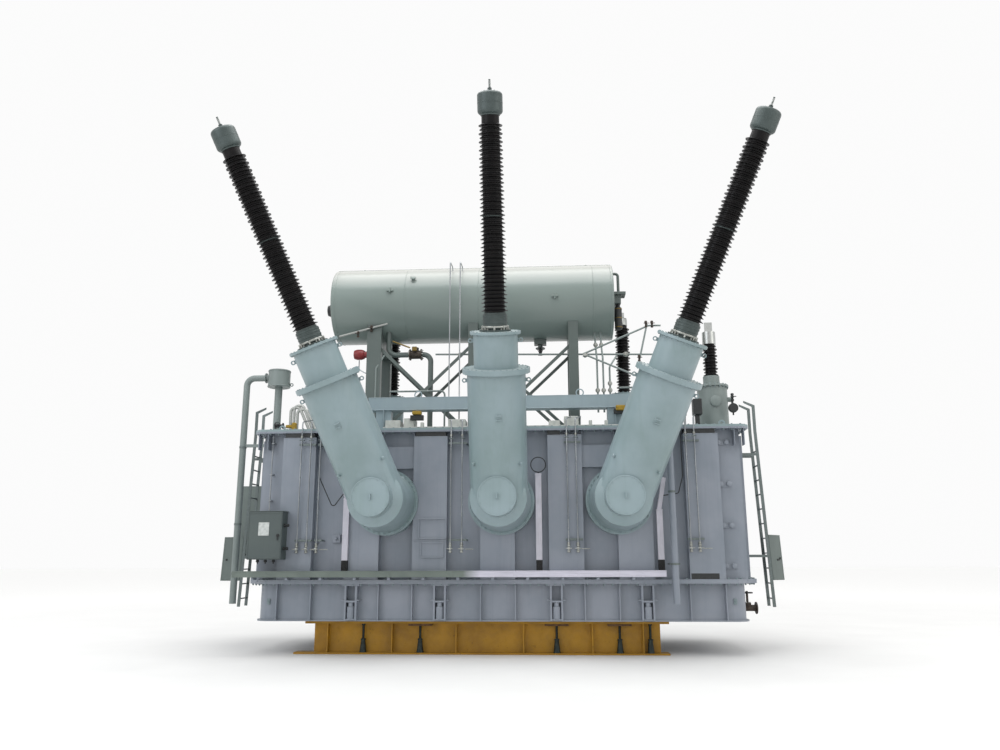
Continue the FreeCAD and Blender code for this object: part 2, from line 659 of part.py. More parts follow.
def cross_beam():
    """A box beam along the cover on three feet."""
    bar = block("beam_bar", "beam_length", "beam_width", "beam_height", "-beam_length / 2",
                "beam_line - beam_width / 2", "beam_level")
    feet = []
    for index in (-1, 0, 1):
        feet.append(block(
            "beam_foot_%d" % (index + 2), "beam_foot", "beam_width * 0.7",
            "beam_level - %s" % COVER_TOP,
            "%d * (beam_length - 2 * beam_foot) / 2 - beam_foot / 2" % index,
            "beam_line - beam_width * 0.35", COVER_TOP))
    node(fused("cross_beam", [bar] + feet))


def gas_relay_pipe():
    """The pipe from the cover up to the conservator, with the gas relay in its level run."""
    line = value("relay_pipe_line")
    start = value("relay_pipe_start")
    level = value("relay_pipe_level")
    far = start - value("relay_pipe_reach")
    run = bent_pipe("relay_pipe_run", [
        (start, line, value(COVER_TOP)), (start, line, level), (far, line, level),
        (far, line, value("conservator_level"))],
        value("relay_pipe_radius"), value("pipe_bend"))
    vessel = rod("relay_pipe_vessel_room", "conservator_radius", "conservator_length",
                 "conservator_shift - conservator_length / 2", "conservator_line",
                 "conservator_level", ALONG_X)
    spot = "relay_pipe_start - relay_pipe_reach / 2 + relay_length / 2"
    relay_room = rod("relay_room", "relay_radius", "relay_length",
                     spot + " - relay_length / 2", "relay_pipe_line", "relay_pipe_level", ALONG_X)
    rooms = grouped("relay_pipe_rooms", [vessel, relay_room])
    node(cut("relay_pipe", run, rooms))
    body = rod("relay_body", "relay_radius - relay_step", "relay_length - 2 * relay_flange",
               spot + " - relay_length / 2 + relay_flange", "relay_pipe_line",
               "relay_pipe_level", ALONG_X)
    flanges = []
    for index in (0, 1):
        flanges.append(rod(
            "relay_flange_%d" % (index + 1), "relay_radius", "relay_flange",
            spot + " - relay_length / 2 + %d * (relay_length - relay_flange)" % index,
            "relay_pipe_line", "relay_pipe_level", ALONG_X))
    top = rod("relay_top", "relay_radius * 0.5", "relay_radius + relay_step", spot,
              "relay_pipe_line", "relay_pipe_level")
    node(fused("gas_relay", [body, top] + flanges))


# ---------------------------------------------------------------- relief devices
def relief_devices():
    """A relief canister on a riser with its discharge pipe, and a second drop pipe."""
    canister_level = "%s + riser_height" % COVER_TOP
    riser = rod("relief_riser", "riser_radius", "riser_height", "-relief_place", "relief_line",
                COVER_TOP)
    canister = rod("relief_canister", "canister_radius", "canister_height", "-relief_place",
                   "relief_line", canister_level)
    node(fused("relief_device", [riser, canister]))
    level = value(canister_level + " + canister_height - discharge_drop")
    outlet = -value("discharge_reach")
    line = value("relief_line")
    run = bent_pipe("discharge_run", [
        (-value("relief_place"), line, level), (outlet, line, level),
        (outlet, line, value("discharge_end"))],
        value("discharge_radius"), value("pipe_bend"))
    room = rod("canister_room", "canister_radius", "canister_height", "-relief_place",
               "relief_line", canister_level)
    arm = block("discharge_arm", "discharge_reach - tank_length / 2 - end_stiffener_depth",
                "discharge_arm_width", "discharge_arm_height", "-discharge_reach",
                "relief_line - discharge_arm_width / 2", "cover_level - discharge_arm_drop")
    pipe = cut("discharge_bare_pipe", run, room)
    node(fused("relief_discharge_pipe", [pipe, arm]))
    spot = value("drop_place")
    top = value("%s + drop_rise" % COVER_TOP)
    drop = bent_pipe("drop_run", [
        (spot, value("drop_inlet"), value(COVER_TOP)), (spot, value("drop_inlet"), top),
        (spot, value("drop_line"), top), (spot, value("drop_line"), value("drop_end"))],
        value("drop_radius"), value("pipe_bend"))
    flange = rod("drop_flange", "drop_flange_radius", "drop_flange_thick", "drop_place", "drop_inlet",
                 COVER_TOP)
    node(fused("drop_pipe", [drop, flange]))


# ---------------------------------------------------------------- other bushings
def neutral_bushing():
    """The small upright bushing of the neutral, on its own turret."""
    spot = ("neutral_place", "neutral_line")
    top = "%s + neutral_turret_height" % COVER_TOP
    node(turned("neutral_turret", [
        ("0", "0"), ("neutral_turret_radius", "0"),
        ("neutral_turret_radius", "neutral_turret_height - turret_lip"),
        ("neutral_turret_radius * 1.1", "neutral_turret_height - turret_lip"),
        ("neutral_turret_radius * 1.1", "neutral_turret_height"),
        ("neutral_insulator_radius * 1.1", "neutral_turret_height"),
        ("neutral_insulator_radius * 1.1", "neutral_turret_height + neutral_neck"),
        ("0", "neutral_turret_height + neutral_neck")], *spot, COVER_TOP))
    start = value(top + " + neutral_neck")
    sheds = shed_column(
        "neutral_insulator", start, start + value("neutral_insulator_height"),
        value("shed_pitch"), value("neutral_insulator_radius - neutral_shed"),
        value("neutral_insulator_radius"),
        value("neutral_insulator_radius - neutral_shed_step"),
        value("shed_edge"), value("shed_drop"))
    node(place(sheds, *spot, "0"))
    cap_level = top + " + neutral_neck + neutral_insulator_height"
    cap = rod("neutral_cap", "neutral_insulator_radius * 0.9", "neutral_cap_height", *spot,
              cap_level)
    bar = block("neutral_bar", "neutral_bar_width", "neutral_bar_thick", "neutral_bar_height",
                "neutral_place - neutral_bar_width / 2",
                "neutral_line - neutral_bar_thick / 2", cap_level + " + neutral_cap_height")
    node(fused("neutral_terminal", [cap, bar]))


def low_voltage_bushings():
    """Three upright bushings behind the conservator."""
    turrets = []
    bushings = []
    for number in (1, 2, 3):
        spot = ("low_place + %d * low_pitch" % (number - 2), "low_line")
        name = "low_bushing_%d" % number
        turrets.append(turned(name + "_turret", [
            ("0", "0"), ("low_turret_radius", "0"),
            ("low_turret_radius", "low_turret_height - turret_lip"),
            ("low_turret_radius * 1.1", "low_turret_height - turret_lip"),
            ("low_turret_radius * 1.1", "low_turret_height"), ("0", "low_turret_height")],
            *spot, COVER_TOP))
        start = value("%s + low_turret_height" % COVER_TOP)
        end = start + value("low_insulator_height")
        sheds = shed_column(
            name + "_sheds", start, end, value("shed_pitch"),
            value("low_insulator_radius - low_shed"), value("low_insulator_radius"),
            value("low_insulator_radius - low_shed_step"), value("shed_edge"), value("shed_drop"))
        place(sheds, *spot, "0")
        cap = rod(name + "_cap", "low_insulator_radius * 0.7", "low_cap_height", *spot,
                  "%s + low_turret_height + low_insulator_height" % COVER_TOP)
        bushings.append(fused(name, [sheds, cap]))
    node(grouped("low_bushing_turrets", turrets))
    node(grouped("low_bushings", bushings))


# ---------------------------------------------------------------- cabinets
def cabinets():
    """The control cabinet with its door, and a plain cabinet on the left end wall."""
    front = "-tank_width / 2 - stiffener_depth - cabinet_depth"
    case = block("cabinet_case", "cabinet_width", "cabinet_depth", "cabinet_height",
                 "cabinet_place", front, "cabinet_bottom")
    room = block("cabinet_room", "cabinet_width - 2 * cabinet_wall", "cabinet_depth - cabinet_wall",
                 "cabinet_height - 2 * cabinet_wall", "cabinet_place + cabinet_wall", front,
                 "cabinet_bottom + cabinet_wall")
    arms = []
    for index in (0, 1):
        arms.append(block(
            "cabinet_arm_%d" % (index + 1), "cabinet_arm", "stiffener_depth", "cabinet_arm",
            "-tank_length / 2 + cabinet_arm", "-tank_width / 2 - stiffener_depth",
            "cabinet_bottom + cabinet_arm_rise + %d * (cabinet_height - 2 * cabinet_arm_rise"
            " - cabinet_arm)" % index))
    node(fused("control_cabinet", [cut("cabinet_shell", case, room)] + arms))
    node(block("control_cabinet_door", "cabinet_width + 2 * door_lap", "door_thick",
               "cabinet_height - 2 * door_margin", "cabinet_place - door_lap",
               front + " - door_play - door_thick", "cabinet_bottom + door_margin"))
    box = block("end_box", "box_width", "box_length", "box_height",
                "-tank_length / 2 - box_gap - box_width", "box_line", "box_bottom")
    arms = []
    for index in (0, 1):
        arms.append(block(
            "end_box_arm_%d" % (index + 1), "box_gap", "box_arm", "box_arm",
            "-tank_length / 2 - box_gap", "box_line + box_arm",
            "box_bottom + box_arm_rise + %d * (box_height - 2 * box_arm_rise - box_arm)" % index))
    node(fused("end_cabinet", [box] + arms))


# ---------------------------------------------------------------- ladders
def ladder_lean(height):
    """How far out from the tank's middle the ladder's centre line is at a height."""
    share = (height - value("ladder_bottom")) / value("ladder_top - ladder_bottom")
    return value("ladder_foot") + share * value("ladder_place - ladder_foot")


def bar_of(outline, front, thick):
    """A flat bar from its outline in the XZ plane, thick along Y."""
    corners = [Vector(across, front, up) for across, up in outline]
    return Part.Face(Part.makePolygon(corners + corners[:1])).extrude(Vector(0, thick, 0))


def ladder(hand, sign):
    """Two leaning rails with bent handrails, rungs and standoffs to the end wall."""
    half = value("rail_depth / 2")
    thick = value("rail_thick")
    bottom = value("ladder_bottom")
    top = value("ladder_top")
    hand_top = top + value("handrail_rise")
    reach = value("handrail_reach")
    wall = value("tank_length / 2")
    pieces = []
    for row in (-1, 1):
        front = value("ladder_line") + row * value("ladder_width / 2") - thick / 2
        foot = ladder_lean(bottom)
        head = ladder_lean(top)
        outline = [(foot - half, bottom), (foot + half, bottom), (head + half, top),
                   (head + half, hand_top - reach / 2), (head - reach, hand_top),
                   (head - reach, hand_top - 1.4 * half),
                   (head - half, hand_top - reach / 2 - half), (head - half, top)]
        pieces.append(bar_of([(sign * across, up) for across, up in outline], front, thick))
        for height in (value("cover_level - standoff_drop"),
                       value("guard_bottom + guard_height / 2")):
            outer = ladder_lean(height)
            deep = value("standoff_section")
            arm = [(wall, height), (outer, height), (outer, height + deep), (wall, height + deep)]
            pieces.append(bar_of([(sign * across, up) for across, up in arm], front, thick))
    rung = value("rung_section")
    width = value("ladder_width")
    height = bottom + value("rung_pitch") / 2
    while height < top - value("rung_pitch") / 2:
        middle = ladder_lean(height)
        outline = [(middle - rung / 2, height), (middle + rung / 2, height),
                   (middle + rung / 2, height + rung), (middle - rung / 2, height + rung)]
        pieces.append(bar_of([(sign * across, up) for across, up in outline],
                             value("ladder_line") - width / 2, width))
        height += value("rung_pitch")
    piece = doc.addObject("Part::Feature", hand + "_ladder")
    piece.Shape = pieces[0].fuse(pieces[1:]).removeSplitter()
    node(piece)
    node(ladder_guard(hand, sign))


def ladder_guard(hand, sign):
    """A plate that swings on the front rail to close off the rungs; it stands half open."""
    low = value("guard_bottom")
    high = low + value("guard_height")
    offset = value("rail_depth / 2 + guard_gap")
    front = value("ladder_line - ladder_width / 2")
    thick = value("guard_thick")
    width = value("guard_width")
    foot = Vector(sign * (ladder_lean(low) + offset), front, low)
    head = Vector(sign * (ladder_lean(high) + offset), front, high)
    outline = [(foot.x, low), (foot.x + sign * width, low), (head.x + sign * width, high),
               (head.x, high)]
    sheet_plate = bar_of(outline, front - thick / 2, thick)
    run = head - foot
    knuckle = Part.makeCylinder(value("guard_gap - hinge_play"), run.Length, foot, run)
    guard = sheet_plate.fuse(knuckle).removeSplitter()
    guard.rotate(foot, run, sign * value(hand + "_guard_angle"))
    piece = doc.addObject("Part::Feature", hand + "_ladder_guard")
    piece.Shape = guard
    return piece


# ---------------------------------------------------------------- cable tray and ducts
DUCTS = {"left": (-2840, 1330), "centre": (770, 1765), "right": (2980, 1090)}


def cable_tray():
    """The long tray across the front, with three upright ducts standing on it."""
    back = "-tank_width / 2 - stiffener_depth"
    node(block("cable_tray", "cable_tray_end - cable_tray_start", "cable_tray_depth",
               "cable_tray_height", "cable_tray_start", back + " - cable_tray_depth",
               "cable_tray_level"))
    ducts = []
    for hand, (spot, height) in DUCTS.items():
        ducts.append(block(hand + "_cable_duct", "duct_width", "duct_depth", height,
                   "%d - duct_width / 2" % spot, back + " - duct_depth",
                   "cable_tray_level + cable_tray_height"))
    node(grouped("cable_ducts", ducts))


def signal_leads():
    """Thin leads from under the cover's rim into two ducts, and a spare coil on the third."""
    line = value("lead_line")
    top = value("cover_level - tank_rim")
    foot = value("cable_tray_level + cable_tray_height")
    leads = []
    for hand, bends, crest in (("left", [(-3400, 3250), (-3110, 2660)], 190),
                               ("right", [(3440, 3200), (3350, 2890)], 240)):
        spot, height = DUCTS[hand]
        duct_top = foot + height
        places = [(bends[0][0], top)] + bends + [(spot, duct_top + crest), (spot, duct_top)]
        leads.append(bent_pipe(hand + "_lead", [(across, line, up) for across, up in places],
                               value("lead_radius"), value("lead_bend")))
    spot, height = DUCTS["centre"]
    tail = value("lead_tail")
    middle = Vector(spot, line, foot + height + tail + value("lead_loop"))
    loop = Part.makeTorus(value("lead_loop"), value("lead_radius"), middle, Vector(0, 1, 0))
    drop = Part.makeCylinder(value("lead_radius"), tail, Vector(spot, line, foot + height))
    piece = doc.addObject("Part::Feature", "centre_lead")
    piece.Shape = loop.fuse(drop).removeSplitter()
    node(grouped("signal_leads", leads + [piece]))


# ---------------------------------------------------------------- drain valve
def drain_valve():
    """A flanged valve on the tray's right end, with a handwheel on its stem."""
    seat = "tray_length / 2"
    on_end = ("valve_line", "valve_level", ALONG_X)
    pieces = [rod("valve_barrel", "valve_body * 0.62", "valve_length", seat, *on_end),
              rod("valve_inner_flange", "valve_flange", "valve_flange_thick", seat, *on_end),
              rod("valve_outer_flange", "valve_flange", "valve_flange_thick",
                  seat + " + valve_length - valve_flange_thick", *on_end)]
    middle = seat + " + valve_length / 2"
    bonnet = "valve_level + valve_body"
    wheel_level = bonnet + " + stem_height"
    pieces.append(rod("valve_bonnet", "valve_body * 0.7", "valve_body", middle, "valve_line",
                      "valve_level"))
    pieces.append(rod("valve_shoulder", "stem_radius * 1.6", "stem_height", middle, "valve_line",
                      bonnet))
    pieces.append(rod("valve_stem", "stem_radius",
                      "stem_height + wheel_hub + wheel_nut + 2 * wheel_play",
                      middle, "valve_line", bonnet))
    pieces.append(rod("valve_nut", "stem_radius * 1.5", "wheel_nut", middle, "valve_line",
                      wheel_level + " + wheel_hub + 2 * wheel_play"))
    openings = [rod("valve_passage", "valve_bore", "valve_length / 2 - valve_body * 0.7",
                    seat + " + valve_length / 2 + valve_body * 0.7", *on_end)]
    for index in range(4):
        across = "valve_bolt_circle * %s" % (-0.5 if index % 2 else 0.5)
        up = "valve_bolt_circle * %s" % (-0.5 if index > 1 else 0.5)
        openings.append(rod(
            "valve_bolt_hole_%d" % (index + 1), "valve_bolt_hole", "valve_flange_thick",
            seat + " + valve_length - valve_flange_thick",
            "valve_line + %s / sqrt(2)" % across, "valve_level + %s / sqrt(2)" % up, ALONG_X))
    node(cut("drain_valve", fused("valve_solid", pieces), grouped("valve_openings", openings)))
    level = value(wheel_level + " + wheel_play")
    hub = value("wheel_hub")
    centre = Vector(value(middle), value("valve_line"), level)
    upward = Vector(0, 0, 1)
    radius = value("wheel_radius - wheel_rim")
    wide = value("spoke_width")
    thick = value("spoke_thick")
    wheel = Part.makeTorus(radius, value("wheel_rim"), centre + upward * (hub / 2))
    wheel = wheel.fuse(Part.makeCylinder(value("stem_radius * 2"), hub, centre, upward))
    for index in range(2):
        spoke = Part.makeBox(2 * radius, wide, thick,
                             Vector(-radius, -wide / 2, (hub - thick) / 2))
        spoke.rotate(Vector(0, 0, 0), upward, 90 * index)
        spoke.translate(centre)
        wheel = wheel.fuse(spoke)
    bore = Part.makeCylinder(value("stem_radius + wheel_play"), 2 * hub, centre - upward * hub / 2)
    piece = doc.addObject("Part::Feature", "drain_handwheel")
    piece.Shape = wheel.cut(bore).removeSplitter()
    node(piece)


def check_and_write():
    """Stop on any failed object, then write each sub-part to its own file."""
    doc.recompute()
    for item in doc.Objects:
        if "Invalid" in item.State or "Error" in item.State:
            raise RuntimeError("object failed: " + item.Label)
    os.makedirs("parts", exist_ok=True)
    for item in NODES:
        shape = item.Shape
        if shape.isNull() or not shape.isValid() or not shape.Solids:
            raise RuntimeError("sub-part is not a sound solid: " + item.Label)
        shape.exportStep("parts/%s.step" % item.Label)
    print("wrote %d sub-parts" % len(NODES))


stand()
lower_tank()
upper_tank()
wall_stiffeners()
node(grouped("turret_hatches", [high_voltage_phase(*phase) for phase in PHASES.items()]))
conservator()
cross_beam()
gas_relay_pipe()
relief_devices()
neutral_bushing()
low_voltage_bushings()
cabinets()
for ladder_hand, ladder_sign in SIDES.items():
    ladder(ladder_hand, ladder_sign)
cable_tray()
signal_leads()
drain_valve()
check_and_write()
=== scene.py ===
import json
import math

import bmesh
import bpy
import numpy as np
from mathutils import Matrix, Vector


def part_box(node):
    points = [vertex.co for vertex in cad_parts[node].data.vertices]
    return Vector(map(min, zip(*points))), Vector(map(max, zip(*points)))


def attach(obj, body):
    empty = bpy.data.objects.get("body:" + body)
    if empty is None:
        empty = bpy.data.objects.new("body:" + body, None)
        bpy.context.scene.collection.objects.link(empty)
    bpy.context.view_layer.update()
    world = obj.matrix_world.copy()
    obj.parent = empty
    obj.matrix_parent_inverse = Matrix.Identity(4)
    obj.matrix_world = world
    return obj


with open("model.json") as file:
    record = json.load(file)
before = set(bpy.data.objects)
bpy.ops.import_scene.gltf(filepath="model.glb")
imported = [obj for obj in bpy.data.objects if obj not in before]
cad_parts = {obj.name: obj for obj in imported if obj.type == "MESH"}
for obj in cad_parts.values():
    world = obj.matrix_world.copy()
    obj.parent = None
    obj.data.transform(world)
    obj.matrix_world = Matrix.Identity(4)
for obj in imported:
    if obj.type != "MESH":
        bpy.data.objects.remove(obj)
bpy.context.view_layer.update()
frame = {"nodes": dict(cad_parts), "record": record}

# The looks of a large oil-filled power transformer.  The frame gives its shape; this script
# paints it and adds the bolts, lugs, instrument pipes and fittings.  Metres, Z up, and the
# high-voltage side faces -Y.


# ---------------------------------------------------------------- camera, lamps and floor
def linear(code):
    """An sRGB hex colour as linear red, green, blue and alpha."""
    parts = np.array([int(code[i:i + 2], 16) for i in (1, 3, 5)]) / 255
    curve = np.where(parts <= 0.04045, parts / 12.92, ((parts + 0.055) / 1.055) ** 2.4)
    return [*curve.tolist(), 1.0]


def camera(place, yaw, pitch, roll, lens):
    """Looks along (sin yaw cos pitch, cos yaw cos pitch, sin pitch), turned by the roll."""
    ahead = np.array([math.sin(yaw) * math.cos(pitch), math.cos(yaw) * math.cos(pitch),
        math.sin(pitch)])
    right = np.array([math.cos(yaw), -math.sin(yaw), 0.0])
    up = np.cross(right, ahead)
    across = math.cos(roll) * right + math.sin(roll) * up
    upward = math.cos(roll) * up - math.sin(roll) * right
    data = bpy.data.cameras.new("view")
    data.lens = lens
    data.sensor_width = 36
    data.clip_end = 400
    seat = bpy.data.objects.new("view", data)
    matrix = np.eye(4)
    matrix[:3] = np.column_stack([across, upward, -ahead, place])
    seat.matrix_world = Matrix(matrix.tolist())
    bpy.context.collection.objects.link(seat)
    bpy.context.scene.camera = seat


def lamp(name, place, toward, size, watts, colour):
    """A square soft lamp facing a point."""
    data = bpy.data.lights.new(name, "AREA")
    data.size = size
    data.energy = watts
    data.color = linear(colour)[:3]
    seat = bpy.data.objects.new(name, data)
    aim = np.array(toward, float) - place
    seat.location = place
    seat.rotation_euler = (math.atan2(math.hypot(aim[0], aim[1]), -aim[2]), 0,
        math.atan2(-aim[0], aim[1]))
    bpy.context.collection.objects.link(seat)


camera(place=(0.964, -16.9, 1.75), yaw=-0.0598, pitch=0.2222, roll=-0.003, lens=28.997)
lamp("roof_lamp", (0, -4, 19), (0, -1, 4), 14, 2300, "#FFFFFF")
lamp("left_lamp", (-13, -15, 12), (-1, -1, 4), 8, 620, "#F2F7FF")
lamp("right_lamp", (15, -9, 10), (1, -1, 4), 8, 260, "#FFFDF6")


# ---------------------------------------------------------------- finishes
def add(tree, kind, inputs=None, stops=None, **settings):
    """Adds a node; an input takes a value or another node's output."""
    node = tree.nodes.new("ShaderNode" + kind)
    for key, setting in settings.items():
        setattr(node, key, setting)
    for key, given in (inputs or {}).items():
        if isinstance(given, bpy.types.NodeSocket):
            tree.links.new(given, node.inputs[key])
        else:
            node.inputs[key].default_value = given
    if stops:
        ramp = node.color_ramp.elements
        while len(ramp) < len(stops):
            ramp.new(0.5)
        for element, (spot, code) in zip(ramp, stops):
            element.position = spot
            element.color = linear(code)
    return node.outputs[0] if node.outputs else None


BLACK = "#000000"


def new_material(name):
    """An empty material and its Object coordinates, in metres."""
    material = bpy.data.materials.new(name)
    material.use_nodes = True
    material.node_tree.nodes.clear()
    tree = material.node_tree
    coordinates = tree.nodes.new("ShaderNodeTexCoord")
    return material, tree, coordinates.outputs["Object"]


def shade(material, tree, colour, gloss, height, depth, top=0.7, **sockets):
    """The surface shader.  The gloss is a pattern and the roughness where it is low and where
    it is high; the relief is as deep as given, and every constant is on its own socket."""
    pattern, at_low, at_high = gloss
    rough = add(tree, "MapRange", {"Value": pattern, "From Min": 0.3, "From Max": top,
        "To Min": at_low, "To Max": at_high})
    relief = add(tree, "Bump", {"Height": height, "Strength": 0.35, "Distance": depth})
    inputs = {"Base Color": colour, "Roughness": rough, "Normal": relief}
    for key, number in sockets.items():
        inputs[key.replace("_", " ")] = number
    shader = add(tree, "BsdfPrincipled", inputs)
    add(tree, "OutputMaterial", {"Surface": shader})
    return material


def facing_up(tree):
    """How far a face looks up: the Z of its normal."""
    facing = tree.nodes.new("ShaderNodeNewGeometry").outputs["Normal"]
    return add(tree, "SeparateXYZ", {"Vector": facing}).node.outputs["Z"]


def enamel(name, body, shadow, runs, dust_and_sheen, gloss, texture=0.0015, dust_and_sheen_from=0.5, swing=0.18):
    """Alkyd enamel sprayed on welded steel: a soft sheen, cloudy coverage 1 to 2 m across,
    faint runs down the walls, a pale colour on what faces up, which is dust and on the
    conservator also a painted highlight, and an orange peel drawn 12 mm wide, coarser than the
    real 2 mm so that it shows.  The pale colour covers faces that look up more than the given
    share, and the roughness swings along the runs."""
    material, tree, where = new_material(name)
    cloud = add(tree, "TexNoise", {"Vector": where, "Scale": 0.7, "Detail": 4.0, "Roughness": 0.6})
    patches = add(tree, "ValToRGB", {"Fac": cloud}, stops=[(0.36, shadow), (0.62, body)])
    long_way = add(tree, "Mapping", {"Vector": where, "Scale": (9.0, 9.0, 0.35)})
    streak = add(tree, "TexNoise", {"Vector": long_way, "Scale": 1.0, "Detail": 5.0,
        "Roughness": 0.65})
    strength = add(tree, "ValToRGB", {"Fac": streak}, stops=[(0.52, BLACK), (0.8, "#9A9A9A")])
    worn = add(tree, "MixRGB", {"Fac": strength, "Color1": patches, "Color2": linear(runs)})
    # Dust, and on the conservator a painted highlight: faces that look up take the pale colour.
    level = add(tree, "MapRange", {"Value": facing_up(tree), "From Min": dust_and_sheen_from, "From Max": 1.0,
        "To Min": 0.0, "To Max": 0.7})
    dusty_and_lit = add(tree, "MixRGB", {"Fac": level, "Color1": worn, "Color2": linear(dust_and_sheen)})
    peel = add(tree, "TexNoise", {"Vector": where, "Scale": 85.0, "Detail": 2.0})
    dents = add(tree, "TexNoise", {"Vector": where, "Scale": 2.2, "Detail": 2.0})
    relief = add(tree, "Math", {0: peel, 1: 0.25, 2: dents}, operation="MULTIPLY_ADD")
    return shade(material, tree, dusty_and_lit, (streak, gloss - swing / 3, gloss + swing / 1.5), relief,
        texture, top=0.75)


def bare_metal(name, bright, dull, gloss, grain, metallic=1.0, width=60.0):
    """Bare metal: its grain is noise drawn out by the given scale along each axis."""
    material, tree, where = new_material(name)
    drawn_out = add(tree, "Mapping", {"Vector": where, "Scale": grain})
    lines = add(tree, "TexNoise", {"Vector": drawn_out, "Scale": width, "Detail": 4.0,
        "Roughness": 0.7})
    cloud = add(tree, "TexNoise", {"Vector": where, "Scale": 3.0, "Detail": 3.0})
    both = add(tree, "MixRGB", {"Fac": cloud, "Color1": lines, "Color2": cloud})
    colour = add(tree, "ValToRGB", {"Fac": both}, stops=[(0.3, dull), (0.65, bright)])
    return shade(material, tree, colour, (both, gloss + 0.1, gloss - 0.06), lines, 0.0006,
        Metallic=metallic)


def galvanised():
    """Hot-dip galvanised steel: crystal spangles about 25 mm across, each a shade of its
    own, with a dull white bloom of zinc oxide."""
    material, tree, where = new_material("hot_dip_galvanised_steel")
    spangle = add(tree, "TexVoronoi", {"Vector": where, "Scale": 40.0})
    crystal = spangle.node.outputs["Color"]
    bloom = add(tree, "TexNoise", {"Vector": where, "Scale": 6.0, "Detail": 5.0})
    grey = add(tree, "RGBToBW", {"Color": crystal})
    tone = add(tree, "ValToRGB", {"Fac": grey}, stops=[(0.2, "#5F6869"), (0.9, "#737C7D")])
    colour = add(tree, "MixRGB", {"Fac": bloom, "Color1": tone, "Color2": linear("#69726F")})
    return shade(material, tree, colour, (bloom, 0.42, 0.6), grey, 0.0004, Metallic=0.45)


def worn_ochre():
    """Ochre gloss paint on a much used stand: scuffed to dark primer in chips 20 to 80 mm
    across, with oil and shop dirt rising from the floor."""
    material, tree, where = new_material("worn_ochre_gloss_paint")
    cloud = add(tree, "TexNoise", {"Vector": where, "Scale": 1.6, "Detail": 6.0,
        "Roughness": 0.65})
    paint = add(tree, "ValToRGB", {"Fac": cloud}, stops=[(0.34, "#8F6708"), (0.6, "#AE8009")])
    chips = add(tree, "TexNoise", {"Vector": where, "Scale": 11.0, "Detail": 8.0,
        "Roughness": 0.72})
    bare = add(tree, "ValToRGB", {"Fac": chips}, stops=[(0.62, BLACK), (0.68, "#B8B8B8")])
    chipped = add(tree, "MixRGB", {"Fac": bare, "Color1": paint, "Color2": linear("#3A3226")})
    height = add(tree, "SeparateXYZ", {"Vector": where}).node.outputs["Z"]
    low = add(tree, "MapRange", {"Value": height, "From Min": 0.0, "From Max": 0.42, "To Min": 0.5,
        "To Max": 0.0})
    dirt = add(tree, "MixRGB", {"Fac": low, "Color1": linear(BLACK), "Color2": cloud})
    dirty = add(tree, "MixRGB", {"Fac": dirt, "Color1": chipped, "Color2": linear("#3E3212")})
    return shade(material, tree, dirty, (chips, 0.38, 0.7), chips, 0.0012)


def glaze():
    """Brown-black electrical porcelain, glazed and fired: nearly black, with a
    faint brown mottle where the glaze is thin and a film of dust on top of the sheds."""
    material, tree, where = new_material("glazed_electrical_porcelain")
    mottle = add(tree, "TexNoise", {"Vector": where, "Scale": 9.0, "Detail": 4.0})
    body = add(tree, "ValToRGB", {"Fac": mottle}, stops=[(0.35, "#0A0A0B"), (0.7, "#141112")])
    film = add(tree, "MapRange", {"Value": facing_up(tree), "From Min": 0.4, "From Max": 1.0,
        "To Min": 0.0, "To Max": 0.07})
    colour = add(tree, "MixRGB", {"Fac": film, "Color1": body, "Color2": linear("#6E7072")})
    return shade(material, tree, colour, (mottle, 0.3, 0.45), mottle, 0.0006,
        Specular_IOR_Level=0.18)


def plain_stuff(name, body, other, rough_low, rough_high, size, depth=0.0006, **sockets):
    """A moulded, cast or painted stuff: two close shades in a noise of the given size."""
    material, tree, where = new_material(name)
    grain = add(tree, "TexNoise", {"Vector": where, "Scale": 1.0 / size, "Detail": 5.0,
        "Roughness": 0.6})
    colour = add(tree, "ValToRGB", {"Fac": grain}, stops=[(0.35, other), (0.62, body)])
    return shade(material, tree, colour, (grain, rough_high, rough_low), grain, depth, **sockets)


def tray_sheet_and_reflection():
    """Cable tray: bare aluminium sheet with a drawn grain along X, and on its left half a
    grey-green painted reflection, thinning out over 0.3 m into the bare sheet."""
    material, tree, where = new_material("cable_tray_sheet")
    along = add(tree, "SeparateXYZ", {"Vector": where}).node.outputs["X"]
    bare = add(tree, "MapRange", {"Value": along, "From Min": -0.62, "From Max": -0.3,
        "To Min": 0.0, "To Max": 1.0})
    drawn_out = add(tree, "Mapping", {"Vector": where, "Scale": (1.5, 60.0, 60.0)})
    lines = add(tree, "TexNoise", {"Vector": drawn_out, "Scale": 2.0, "Detail": 5.0})
    sheet = add(tree, "ValToRGB", {"Fac": lines}, stops=[(0.3, "#B4B3BF"), (0.7, "#CFCDDA")])
    cloud = add(tree, "TexNoise", {"Vector": where, "Scale": 2.5, "Detail": 4.0})
    # Painted reflection: a grey-green colour on the left half that stands in for a reflection.
    paint = add(tree, "ValToRGB", {"Fac": cloud}, stops=[(0.3, "#5F6964"), (0.7, "#6F7972")])
    colour = add(tree, "MixRGB", {"Fac": bare, "Color1": paint, "Color2": sheet})
    return shade(material, tree, colour, (lines, 0.5, 0.34), lines, 0.0005, Metallic=0.15)


TANK = enamel("tank_alkyd_enamel", "#878D97", "#78808A", "#666F78", "#9A9FA2", 0.42)
TURRET = enamel("turret_alkyd_enamel", "#87989D", "#7A8C8E", "#70857F", "#9AA6A6", 0.36)
